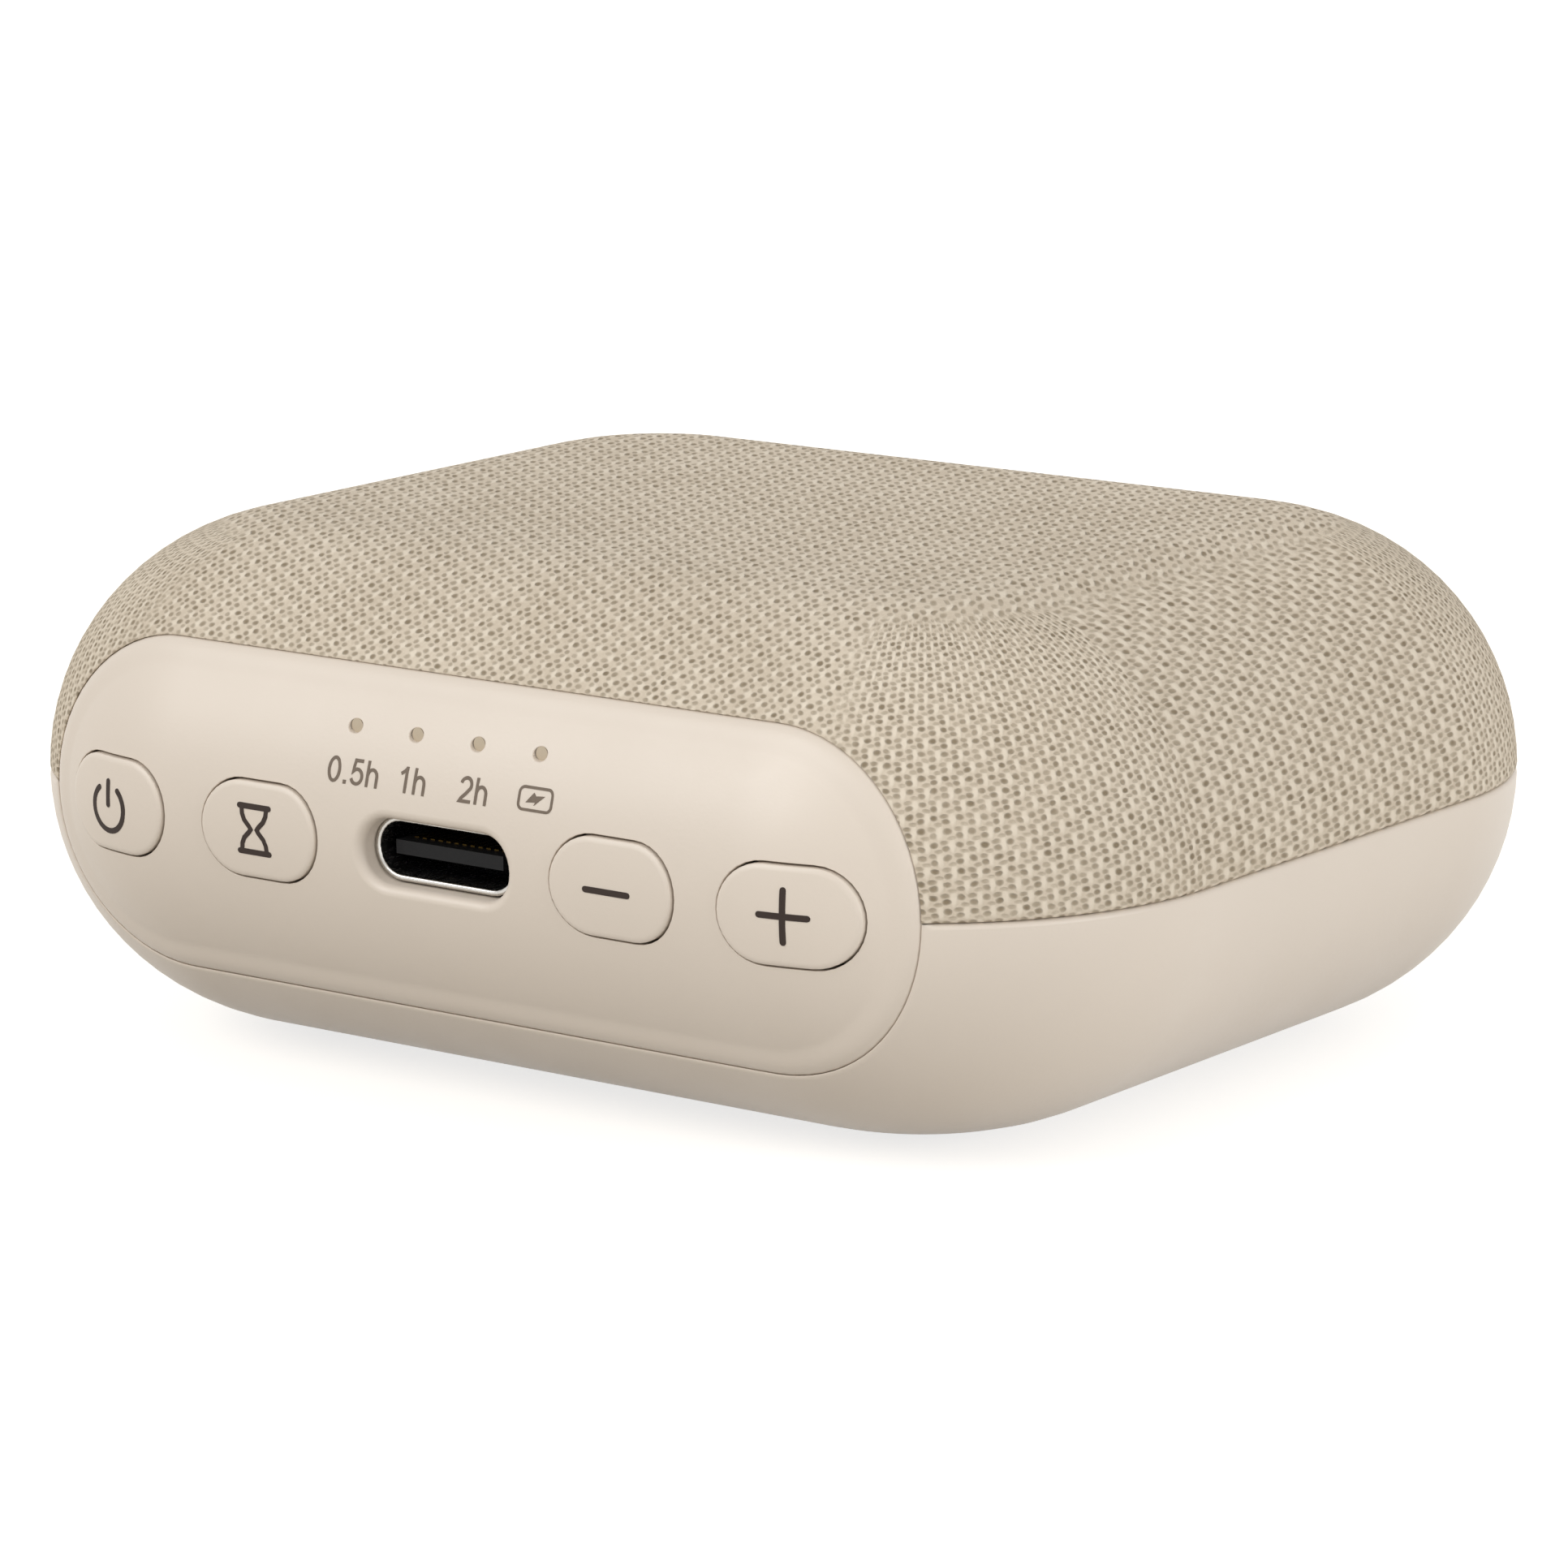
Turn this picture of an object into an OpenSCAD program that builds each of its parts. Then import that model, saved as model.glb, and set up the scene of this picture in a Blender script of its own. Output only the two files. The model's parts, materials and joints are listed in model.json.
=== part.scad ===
// White noise sound machine: a palm-sized box with fully rounded sides, speaker cloth over its upper half
// and a pill-shaped control panel let into its front.
// Millimetres. Origin under the middle of the body, on the surface that the feet stand on.
// +X to the right, +Y to the back, +Z up. The control panel faces -Y.

/* [Body] */
// Overall width, left to right
body_w = 68; // [66:0.5:78]
// Overall depth, front to back
body_d = 57.4; // [56.4:0.2:66]
// Height of the casing without its feet
body_h = 26.3; // [26:0.1:30]
// Corner radius seen from above
corner_r = 16.4; // [15.8:0.1:17.4]
// Wall of the lower shell
wall = 1.8; // [1.5:0.1:2.1]
// Wall of the perforated frame under the cloth
frame_wall = 1.6; // [1.3:0.1:1.8]
// Thickness of the speaker cloth
cloth_t = 0.6; // [0.4:0.05:0.8]
// Gap between the hem of the cloth and the lower shell
seam_gap = 0.1; // [0.05:0.05:0.3]
// Depth of the tongue that keys the frame into the lower shell
tongue_h = 1.2; // [0.8:0.1:1.4]
// Thickness of that tongue
tongue_t = 0.9; // [0.6:0.1:1.1]

/* [Control panel] */
// Length of the panel
panel_w = 54; // [53.4:0.2:56]
// Height of the panel
panel_h = 17; // [16.6:0.1:17.6]
// How far the panel's face lies below the body's surface
panel_sink = 0.15; // [0:0.05:0.3]
// How far the panel's back lies below the body's surface
panel_t = 1.8; // [1.4:0.1:2]
// Gap all round the panel
panel_gap = 0.1; // [0.05:0.05:0.25]
// Width of the ledge that the panel's edge is glued to
ledge_w = 1.2; // [0.8:0.1:1.3]
// Thickness of that ledge
ledge_t = 1; // [0.7:0.1:1.2]
// Thickness of the two locating ribs behind the panel
rib_t = 0.6; // [0.4:0.1:0.6]

/* [Buttons] */
// Length of a button
button_w = 7.4; // [7:0.1:7.8]
// Height of a button
button_h = 4.9; // [4.6:0.1:5.4]
// Centre of the inner buttons from the middle
button_x_inner = 11; // [10.8:0.1:11.3]
// Centre of the outer buttons from the middle
button_x_outer = 21; // [20.7:0.1:21.2]
// Gap round a button
button_gap = 0.2; // [0.1:0.05:0.3]
// How far the flange behind a button reaches past its face
flange_w = 0.5; // [0.4:0.05:0.5]
// Thickness of that flange
flange_t = 0.8; // [0.6:0.1:0.9]
// Clearance between the flange and the back of the panel
flange_gap = 0.1; // [0.05:0.05:0.15]
// Travel of a button
button_travel = 0.3; // [0.2:0.05:0.35]

/* [Switches] */
// Width of a switch housing
switch_w = 5; // [4.5:0.1:5.4]
// Depth of a switch housing
switch_d = 2.8; // [2.4:0.1:3]
// Height of a switch housing
switch_h = 3.2; // [2.8:0.1:3.4]
// Width of a switch plunger
plunger_w = 2.4; // [2:0.1:2.8]
// Height of a switch plunger
plunger_h = 1.4; // [1.2:0.1:1.6]
// How far a plunger stands out of its housing
plunger_out = 0.8; // [0.6:0.1:0.9]
// How far a plunger reaches into its housing
plunger_in = 0.9; // [0.7:0.1:1.1]
// Clearance round a plunger
plunger_gap = 0.1; // [0.05:0.05:0.15]

/* [Charging port] */
// Length of the opening in the panel
port_w = 9.8; // [9.4:0.1:10.2]
// Height of the opening in the panel
port_h = 3.8; // [3.6:0.1:4.2]
// Outer width of the socket's metal shell
usb_w = 8.94; // [8.7:0.02:9.1]
// Outer height of the socket's metal shell
usb_h = 3.26; // [3.1:0.02:3.4]
// Sheet thickness of the shell
usb_wall = 0.3; // [0.2:0.05:0.35]
// Length of the socket
usb_l = 7.35; // [7:0.05:7.8]
// How far the socket's mouth lies behind the body's front
usb_recess = 1; // [0.5:0.1:1]
// Width of the tongue
usb_tongue_w = 6.69; // [6.4:0.05:6.9]
// Thickness of the tongue
usb_tongue_t = 0.7; // [0.6:0.05:0.8]
// Length of the tongue in front of the socket's back block
usb_tongue_l = 4.45; // [4.2:0.05:4.7]
// Number of contacts on each side of the tongue
usb_contacts_n = 12; // [8:1:12]

/* [Indicators] */
// Height of the indicator holes above the middle of the panel
led_z = 5.7; // [5.4:0.1:5.7]
// Spacing of the indicator holes
led_pitch = 3.84; // [3.6:0.02:4.1]
// Diameter of an indicator hole
led_hole_d = 0.8; // [0.6:0.1:1]
// Clearance round a tip of the light guide in its hole
led_gap = 0.04; // [0.02:0.01:0.08]
// Section of the light guide's arms
guide_t = 1.2; // [1:0.1:1.2]

/* [Board] */
// Thickness of the circuit board
board_t = 1; // [0.8:0.1:1.2]
// How far the board's edge lies inside the body's outline
board_inset = 3.6; // [3.5:0.1:3.9]

/* [Screws and feet] */
// Outer diameter of the screw bosses
boss_d = 4.8; // [4.2:0.1:5]
// Diameter of a screw's shank
screw_d = 1.9; // [1.6:0.1:2]
// Clearance hole for the shank
screw_hole_d = 2.3; // [2.2:0.1:2.5]
// Diameter of a screw's head
screw_head_d = 3.5; // [3.2:0.1:3.6]
// Height of a screw's head
screw_head_h = 1.4; // [1.2:0.1:1.5]
// Length of the shank above the board
screw_grip = 5.4; // [4:0.2:7]
// Diameter of a rubber foot
foot_d = 6; // [5.4:0.1:6.2]
// How far a foot stands out of the base
foot_proud = 0.6; // [0.4:0.1:1]
// Depth of the pocket that a foot is glued into
foot_pocket = 0.8; // [0.6:0.1:1]
// Clearance round a foot in its pocket
foot_gap = 0.1; // [0.05:0.05:0.2]

/* [Battery] */
// Width of the cell
battery_w = 26; // [22:0.5:26.5]
// Room between the cell's ends and the curved walls or the ledge
battery_gap = 0.9; // [0.6:0.1:3]
// Thickness of the cell
battery_t = 6.5; // [5:0.1:7]
// Thickness of the foam pad under the cell
pad_t = 0.5; // [0.4:0.05:0.7]

/* [Speaker] */
// Diameter of the speaker
speaker_d = 36; // [35:0.2:36.6]
// Room between the board and the back of the magnet
yoke_clear = 1.2; // [0.7:0.1:1.5]
// Thickness of the rim
speaker_rim_t = 0.8; // [0.6:0.1:1]
// Thickness of the foam gasket on the rim
gasket_t = 0.5; // [0.4:0.05:0.6]
// How far the speaker's seat lies below the frame's ceiling
seat_drop = 1; // [0.8:0.1:1.1]
// Outer diameter of the magnet's steel cup
yoke_d = 17.2; // [17:0.1:17.6]
// Height of the steel cup
yoke_h = 5; // [4.8:0.1:5.2]
// Diameter of the voice coil, middle of its former
coil_d = 14; // [13.9:0.05:14.1]
// Travel of the cone each way
cone_travel = 0.6; // [0.3:0.1:0.6]
// Diameter of the sound holes over the speaker
sound_hole_d = 1.8; // [1.2:0.1:2.2]
// Spacing of the sound holes
sound_pitch = 3; // [2.8:0.1:3.2]
// Rings of sound holes round the middle one
sound_rings = 4; // [2:1:4]

/* [Hidden] */
$fn = 96;

// Colours
cream = [0.86, 0.81, 0.75];
cloth_beige = [0.76, 0.70, 0.60];
frame_grey = [0.62, 0.58, 0.52];
steel = [0.78, 0.78, 0.79];
gold = [0.85, 0.68, 0.35];
black = [0.09, 0.09, 0.10];
board_green = [0.10, 0.36, 0.22];
clear_white = [0.92, 0.93, 0.93];
paper_cone = [0.20, 0.20, 0.21];

// Body: the side is a full half round, and its corners turn about these centres
side_r = body_h / 2;
mid_z = foot_proud + side_r;
top_z = foot_proud + body_h;
corner_x = body_w / 2 - corner_r;
corner_y = body_d / 2 - corner_r;
front_y = -body_d / 2;
tongue_gap = 0.1;
far = 100;

// Depth of the front of the body's outline, shrunk by an inset, at a place across the body
function outline_y(x, inset) =
    abs(x) <= corner_x
        ? front_y + inset
        : -corner_y - sqrt(pow(corner_r - inset, 2) - pow(abs(x) - corner_x, 2));
// Depth of the front wall at a height above or below the middle
function wall_y(inset, dz) = front_y + side_r - sqrt(pow(side_r - inset, 2) - pow(dz, 2));

// Control panel: it lies in front of a plane just behind the deepest parts of its edge
zone_margin = 1.3;
panel_zone_y = zone_margin + max(
    wall_y(panel_t + panel_gap, panel_h / 2),
    outline_y(panel_w / 2, panel_t + panel_gap)
);
ledge_zone_y = panel_zone_y + 2 * ledge_w;
ledge_inset = panel_t + panel_gap + ledge_t;
rib_gap = 0.15;
rib_half_w = panel_w / 2 - panel_h / 2;

// Board: its top face carries the socket, whose middle is level with the buttons
board_top = mid_z - usb_h / 2;
board_bottom = board_top - board_t;

// Depth of a switch's front: behind the edge of the board, and clear of the button's flange when pressed
switch_setback = 0.5;
switch_clear = 0.2;
function switch_front(x) = max(
    outline_y(x, board_inset) + switch_setback,
    outline_y(abs(x) + switch_w / 2, panel_t + flange_gap + flange_t) + button_travel + switch_clear
);
stem_d = 2.2;

// Charging port
usb_mouth_y = front_y + usb_recess;
usb_back_y = usb_mouth_y + usb_l;
usb_block_gap = 0.05;
usb_block_l = 2;
usb_leg = [0.35, 1.1];
usb_leg_gap = 0.15;
usb_leg_from_back = [1.6, 5];
usb_leg_y = [for (d = usb_leg_from_back) usb_back_y - d];
contact_pitch = 0.5;
contact_w = 0.26;
contact_l = 3.6;
contact_t = 0.05;

// Indicators: the lamps stand behind the socket
led_size = [1.6, 0.8, 0.6];
led_behind = 1.6;
led_y = usb_back_y + led_behind;
led_clear = 0.2;
guide_bar_y = usb_back_y - guide_t;
guide_leg_out = 2.8;
guide_leg_x = usb_w / 2 + guide_leg_out;
guide_wall_gap = 0.3;
guide_front_y = wall_y(panel_t, led_z + guide_t / 2) + guide_wall_gap;
guide_tip_recess = 0.2;
guide_tip_y = wall_y(panel_sink, led_z) + guide_tip_recess;

// Bosses, screws and feet stand towards the corners, just outside the speaker
speaker_r = speaker_d / 2;
boss_clear = 1.07;
boss_reach = speaker_r + boss_clear + boss_d / 2;
boss_x = boss_reach * corner_x / norm([corner_x, corner_y]);
boss_y = boss_reach * corner_y / norm([corner_x, corner_y]);
foot_top = foot_proud + foot_pocket;
head_gap = 0.2;
head_seat = foot_top + head_gap + screw_head_h;
screw_top = board_top + screw_grip;
pilot_gap = 0.05;
pilot_extra = 0.5;
head_lap = 0.1;

// Battery, in a tray between the bosses
floor_z = foot_proud + wall;
battery_bottom = floor_z + pad_t;
battery_l = -2 * (max(wall_y(wall, mid_z - battery_bottom), ledge_zone_y) + battery_gap);
pad_margin = 4;
tray_gap = 0.3;
tray_t = 1;
tray_l = 16;
tray_h = 3;
post_w = 2;
post_gap = 0.6;

// Speaker, facing up under the sound holes
ceiling_z = top_z - cloth_t - frame_wall;
seat_z = ceiling_z - seat_drop;
seat_in = 2.4;
seat_out = 0.6;
speaker_gap = 0.3;
gasket_w = 2.1;
gasket_in = 0.1;
rim_top = seat_z - gasket_t;
rim_bottom = rim_top - speaker_rim_t;
rim_w = 2.8;
yoke_bottom = board_top + yoke_clear;
yoke_top = yoke_bottom + yoke_h;
yoke_wall = 1;
yoke_floor = 1.2;
coil_air = 0.6;
pole_r = coil_d / 2 - coil_air;
pole_t = 1.4;
magnet_in = 0.2;
former_t = 0.3;
winding_t = 0.2;
winding_above = 0.5;
glue_gap = 0.05;
coil_floor_gap = 0.7;
coil_bottom = yoke_bottom + yoke_floor + cone_travel + coil_floor_gap;
neck_rise = 1.9;
neck_z = yoke_top + neck_rise;
neck_r = coil_d / 2 + former_t / 2 + glue_gap;
basket_t = 0.7;
basket_foot_w = 2;
basket_foot_r = yoke_d / 2 + basket_foot_w;
basket_foot_t = 0.7;
basket_foot_gap = 0.1;
basket_top_in = 1.8;
basket_top_r = speaker_r - basket_top_in;
window_w = 6;
window_edge = 0.6;
spider_rise = 1.3;
spider_z = yoke_top + spider_rise;
spider_gap = 0.1;
spider_r = basket_foot_r - spider_gap;
spider_t = 0.25;
spider_seat = [0.6, 0.5, 0.4];
cone_t = 0.35;
surround_w = 2;
cone_lip = 0.2;
cone_fold = 0.6;
cone_r = speaker_r - rim_w - surround_w;
roll_foot = 0.35;
roll_t = 0.25;
cap_lap = 0.8;
cap_r = coil_d / 2 + cap_lap;
cap_round = 16;
cap_foot = 0.1;
terminal = [2.9, 5, 0.8];
terminal_in = 1.5;
terminal_x = speaker_r - terminal_in;
terminal_end = terminal_x + terminal[0];

// Small parts on the board: each is [x, y] of its middle, and [width, depth, height]
side_chips_out = 6;
front_chips_in = 12.4;
back_chips_in = 11.2;
side_chips_x = corner_x + side_chips_out;
front_chips_y = front_y + front_chips_in;
back_chips_y = body_d / 2 - back_chips_in;
main_chip_at = [-side_chips_x, -3];
main_chip_size = [7, 7, 1];
memory_chip_at = [-side_chips_x, 5];
memory_chip_size = [5.2, 5.2, 1.4];
amplifier_chip_at = [side_chips_x, -6.4];
amplifier_chip_size = [4, 5, 1.2];
charger_chip_at = [11.5, front_chips_y];
charger_chip_size = [3, 3, 0.9];
crystal_at = [-side_chips_x, -9];
crystal_size = [3.2, 2.5, 0.8];
inductor_at = [-10.9, front_chips_y];
inductor_size = [5, 5, 2.4];
bulk_at = [9, back_chips_y + 1.9];
bulk_d = 6.3;
bulk_h = 5.8;
chip_row_x = [-4.8, -2.4, 0, 2.4, 4.8];
chip_row_gap = 2;
small_size = [1.6, 0.8, 0.7];

// Connectors: the battery's hangs under the board, the speaker's stands on it
connector = [4.6, 6, 4];
battery_connector_out = 5.6;
speaker_connector_out = 3.2;
battery_connector_at = [-(boss_x + battery_connector_out), 0];
speaker_connector_at = [terminal_end + speaker_connector_out, 0];
lead_d = 1;
lead_sides = 8;
battery_lead_gap = 1.3;
speaker_lead_gap = 2;

// Routes of the leads. Each second lead runs beside the first
lead_straight = 0.8;
lead_low = battery_bottom + battery_t - 1.9;
lead_high = board_bottom - connector[2] / 2;
battery_route = [
    [-6, battery_l / 2, lead_low],
    [-6, battery_l / 2 + lead_straight, lead_low],
    [-6, battery_l / 2 + 2 * lead_straight, lead_low],
    [-9, battery_l / 2 + 3, lead_low],
    [-14, battery_l / 2 + 2.6, lead_low + 0.1],
    [-(boss_x + 1.4), boss_y + 6.1, lead_low + 0.3],
    [-(boss_x + 4.8), boss_y + 2.7, lead_low + 0.7],
    [battery_connector_at[0], boss_y - 1.3, lead_low + 1.1],
    [battery_connector_at[0], boss_y - 5.3, lead_low + 1.5],
    [battery_connector_at[0], connector[1] / 2 + 2 * lead_straight, lead_high],
    [battery_connector_at[0], connector[1] / 2 + lead_straight, lead_high],
    [battery_connector_at[0], connector[1] / 2, lead_high]
];
speaker_lead_y = -speaker_lead_gap / 2;
terminal_z = rim_bottom - terminal[2] / 2;
connector_top = board_top + connector[2];
speaker_route = [
    [terminal_end, speaker_lead_y, terminal_z],
    [terminal_end + lead_straight, speaker_lead_y, terminal_z],
    [terminal_end + 2 * lead_straight, speaker_lead_y, terminal_z],
    [speaker_connector_at[0] - 0.5, speaker_lead_y, terminal_z - 1.2],
    [speaker_connector_at[0], speaker_lead_y, terminal_z - 2.8],
    [speaker_connector_at[0], speaker_lead_y, connector_top + 2 * lead_straight],
    [speaker_connector_at[0], speaker_lead_y, connector_top + lead_straight],
    [speaker_connector_at[0], speaker_lead_y, connector_top]
];

// ---------------------------------------------------------------- shared shapes

// A flat pill: a bar with round ends, long along X
module pill(length, height) {
    square([length - height, height], center = true);
    for (side = [-1, 1])
        translate([side * (length - height) / 2, 0])
            circle(d = height);
}

// A flat rounded rectangle that follows the body's outline
module outline(inset) {
    r = corner_r - inset;
    square([2 * corner_x, 2 * (corner_y + r)], center = true);
    square([2 * (corner_x + r), 2 * corner_y], center = true);
    for (sx = [-1, 1], sy = [-1, 1])
        translate([sx * corner_x, sy * corner_y])
            circle(r = r);
}

// One corner of the body: its side profile turned through a quarter
module corner(r) {
    run = corner_r - side_r;
    rotate_extrude(angle = 90) {
        translate([0, -r])
            square([run, 2 * r]);
        intersection() {
            translate([run, 0])
                circle(r = r);
            translate([run, -r])
                square([r, 2 * r]);
        }
    }
}

// The whole body, or the same shape shrunk on all sides by an inset
module body(inset) {
    r = side_r - inset;
    translate([0, 0, mid_z]) {
        rotate([90, 0, 90])
            linear_extrude(2 * corner_x, center = true)
                pill(body_d - 2 * inset, 2 * r);
        rotate([90, 0, 0])
            linear_extrude(2 * corner_y, center = true)
                pill(body_w - 2 * inset, 2 * r);
        for (turn = [0, 1, 2, 3]) {
            sx = (turn == 0 || turn == 3) ? 1 : -1;
            sy = (turn < 2) ? 1 : -1;
            translate([sx * corner_x, sy * corner_y, 0])
                rotate([0, 0, 90 * turn])
                    corner(r);
        }
    }
}

// A layer of the body between two insets
module skin(outer, inner) {
    difference() {
        body(outer);
        body(inner);
    }
}

// Everything above a height, or below it
module above(z) {
    translate([-far / 2, -far / 2, z])
        cube([far, far, far]);
}

module below(z) {
    translate([-far / 2, -far / 2, z - far])
        cube([far, far, far]);
}

// A flat shape drawn on the panel, run from in front of the body back to a depth
module through_front(y_back) {
    translate([0, y_back, mid_z])
        rotate([90, 0, 0])
            linear_extrude(far)
                children();
}

// The four places of the bosses
module at_bosses() {
    for (sx = [-1, 1], sy = [-1, 1])
        translate([sx * boss_x, sy * boss_y, 0])
            children();
}

// A ring about the vertical axis
module ring(r_in, r_out, z_low, z_high) {
    translate([0, 0, z_low])
        difference() {
            cylinder(r = r_out, h = z_high - z_low);
            translate([0, 0, -1])
                cylinder(r = r_in, h = z_high - z_low + 2);
        }
}

// A block that stands on the board
module on_board(at, size) {
    translate([at[0] - size[0] / 2, at[1] - size[1] / 2, board_top])
        cube(size);
}

// ---------------------------------------------------------------- casing

// Ledge in the front wall that carries the edge of the panel
module panel_ledge() {
    intersection() {
        skin(wall / 2, ledge_inset);
        difference() {
            through_front(ledge_zone_y)
                pill(panel_w + 2 * ledge_w, panel_h + 2 * ledge_w);
            through_front(far / 2)
                pill(panel_w - 2 * ledge_w, panel_h - 2 * ledge_w);
        }
    }
}

// The room that the panel takes out of the front wall, down to the ledge
module panel_pocket() {
    difference() {
        through_front(panel_zone_y)
            pill(panel_w + 2 * panel_gap, panel_h + 2 * panel_gap);
        body(panel_t + panel_gap);
    }
    through_front(panel_zone_y)
        pill(panel_w - 2 * ledge_w, panel_h - 2 * ledge_w);
}

// Bosses and ribs that stand on the floor of the lower shell
module floor_posts() {
    intersection() {
        body(wall / 2);
        union() {
            at_bosses()
                cylinder(d = boss_d, h = board_bottom);
            for (side = [-1, 1]) {
                translate([side * guide_leg_x - post_w / 2, -battery_l / 2 - post_gap - post_w, 0])
                    cube([post_w, post_w, board_bottom]);
                translate([side * (battery_w / 2 + tray_gap + tray_t / 2) - tray_t / 2, -tray_l / 2, 0])
                    cube([tray_t, tray_l, floor_z + tray_h]);
            }
        }
    }
}

module bottom_shell() {
    color(cream)
        difference() {
            union() {
                intersection() {
                    union() {
                        skin(0, wall);
                        panel_ledge();
                    }
                    below(mid_z);
                }
                floor_posts();
            }
            panel_pocket();
            at_bosses() {
                translate([0, 0, -1])
                    cylinder(d = foot_d + 2 * foot_gap, h = foot_top + 1);
                cylinder(d = screw_head_d + 2 * head_gap, h = head_seat);
                cylinder(d = screw_hole_d, h = board_top);
            }
        }
}

// Round sound holes in rings over the speaker
module sound_holes() {
    for (k = [0 : sound_rings])
        for (i = [0 : max(6 * k - 1, 0)])
            rotate([0, 0, k == 0 ? 0 : 60 * i / k])
                translate([k * sound_pitch, 0, seat_z - 1])
                    cylinder(d = sound_hole_d, h = top_z);
}

module top_frame() {
    color(frame_grey)
        difference() {
            union() {
                intersection() {
                    union() {
                        skin(cloth_t, cloth_t + frame_wall);
                        panel_ledge();
                    }
                    above(mid_z);
                }
                difference() {
                    intersection() {
                        skin(wall + tongue_gap, wall + tongue_gap + tongue_t);
                        above(mid_z - tongue_h);
                        below(mid_z + tongue_h);
                    }
                    through_front(ledge_zone_y)
                        pill(panel_w + 2 * ledge_w + 4 * tongue_gap, panel_h + 2 * ledge_w);
                }
                intersection() {
                    body(cloth_t + frame_wall / 2);
                    union() {
                        at_bosses()
                            translate([0, 0, board_top])
                                cylinder(d = boss_d, h = far);
                        ring(speaker_r - seat_in, speaker_r + seat_out, seat_z, top_z);
                    }
                }
            }
            panel_pocket();
            at_bosses()
                cylinder(d = screw_d + 2 * pilot_gap, h = screw_top + pilot_extra);
            cylinder(r = speaker_r + speaker_gap, h = seat_z);
            sound_holes();
        }
}

module grille_cloth() {
    color(cloth_beige)
        difference() {
            intersection() {
                skin(0, cloth_t);
                above(mid_z + seam_gap);
            }
            through_front(panel_zone_y)
                pill(panel_w + 2 * panel_gap, panel_h + 2 * panel_gap);
        }
}

module front_panel() {
    color(cream)
        difference() {
            union() {
                intersection() {
                    skin(panel_sink, panel_t);
                    through_front(panel_zone_y)
                        pill(panel_w, panel_h);
                }
                intersection() {
                    skin(panel_t / 2, panel_t + ledge_t);
                    through_front(panel_zone_y)
                        for (side = [-1, 1])
                            translate([0, side * (panel_h / 2 - ledge_w - rib_gap - rib_t / 2)])
                                square([2 * rib_half_w, rib_t], center = true);
                }
            }
            through_front(panel_zone_y)
                pill(port_w, port_h);
            for (x = [-button_x_outer, -button_x_inner, button_x_inner, button_x_outer])
                through_front(panel_zone_y)
                    translate([x, 0])
                        pill(button_w + 2 * button_gap, button_h + 2 * button_gap);
            through_front(panel_zone_y)
                for (i = [-1.5 : 1.5])
                    translate([i * led_pitch, led_z])
                        circle(d = led_hole_d);
        }
}

// ---------------------------------------------------------------- buttons and switches

// Cap with a flange behind the panel and a stem that meets its switch
module button(x) {
    color(cream) {
        intersection() {
            skin(0, panel_t + flange_gap + flange_t);
            through_front(panel_zone_y)
                translate([x, 0])
                    pill(button_w, button_h);
        }
        intersection() {
            skin(panel_t + flange_gap, panel_t + flange_gap + flange_t);
            through_front(panel_zone_y)
                translate([x, 0])
                    pill(button_w + 2 * flange_w, button_h + 2 * flange_w);
        }
        translate([x, switch_front(x) - plunger_out, mid_z])
            rotate([90, 0, 0])
                cylinder(d = stem_d, h = switch_front(x) - plunger_out - outline_y(x, panel_t));
    }
}

module plunger(x) {
    color(black)
        translate([x - plunger_w / 2, switch_front(x) - plunger_out, mid_z - plunger_h / 2])
            cube([plunger_w, plunger_out + plunger_in, plunger_h]);
}

module switch(x) {
    slot_w = plunger_w + 2 * plunger_gap;
    slot_h = plunger_h + 2 * plunger_gap;
    slot_l = plunger_in + button_travel + plunger_gap;
    color(steel)
        difference() {
            translate([x - switch_w / 2, switch_front(x), board_top])
                cube([switch_w, switch_d, switch_h]);
            translate([x - slot_w / 2, switch_front(x) - 1, mid_z - slot_h / 2])
                cube([slot_w, slot_l + 1, slot_h]);
        }
}

module power_button() { button(-button_x_outer); }
module timer_button() { button(-button_x_inner); }
module volume_down_button() { button(button_x_inner); }
module volume_up_button() { button(button_x_outer); }
module power_plunger() { plunger(-button_x_outer); }
module timer_plunger() { plunger(-button_x_inner); }
module volume_down_plunger() { plunger(button_x_inner); }
module volume_up_plunger() { plunger(button_x_outer); }
module power_switch() { switch(-button_x_outer); }
module timer_switch() { switch(-button_x_inner); }
module volume_down_switch() { switch(button_x_inner); }
module volume_up_switch() { switch(button_x_outer); }

// ---------------------------------------------------------------- charging port

// Places of the four legs that hold the socket in the board
module at_usb_legs() {
    for (side = [-1, 1], y = usb_leg_y)
        translate([side * (usb_w - usb_h) / 2, y, board_top])
            children();
}

module usb_shell() {
    color(steel) {
        difference() {
            translate([0, usb_back_y, mid_z])
                rotate([90, 0, 0])
                    linear_extrude(usb_l)
                        pill(usb_w, usb_h);
            translate([0, usb_back_y - usb_wall, mid_z])
                rotate([90, 0, 0])
                    linear_extrude(usb_l)
                        pill(usb_w - 2 * usb_wall, usb_h - 2 * usb_wall);
        }
        at_usb_legs()
            translate([-usb_leg[0] / 2, -usb_leg[1] / 2, -board_t])
                cube([usb_leg[0], usb_leg[1], board_t + usb_wall]);
    }
}

module usb_tongue() {
    block_back = usb_back_y - usb_wall;
    color(black) {
        translate([0, block_back, mid_z])
            rotate([90, 0, 0])
                linear_extrude(usb_block_l)
                    pill(usb_w - 2 * usb_wall - 2 * usb_block_gap, usb_h - 2 * usb_wall - 2 * usb_block_gap);
        translate([-usb_tongue_w / 2, block_back - usb_block_l - usb_tongue_l, mid_z - usb_tongue_t / 2])
            cube([usb_tongue_w, usb_tongue_l + usb_block_l, usb_tongue_t]);
    }
}

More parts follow.
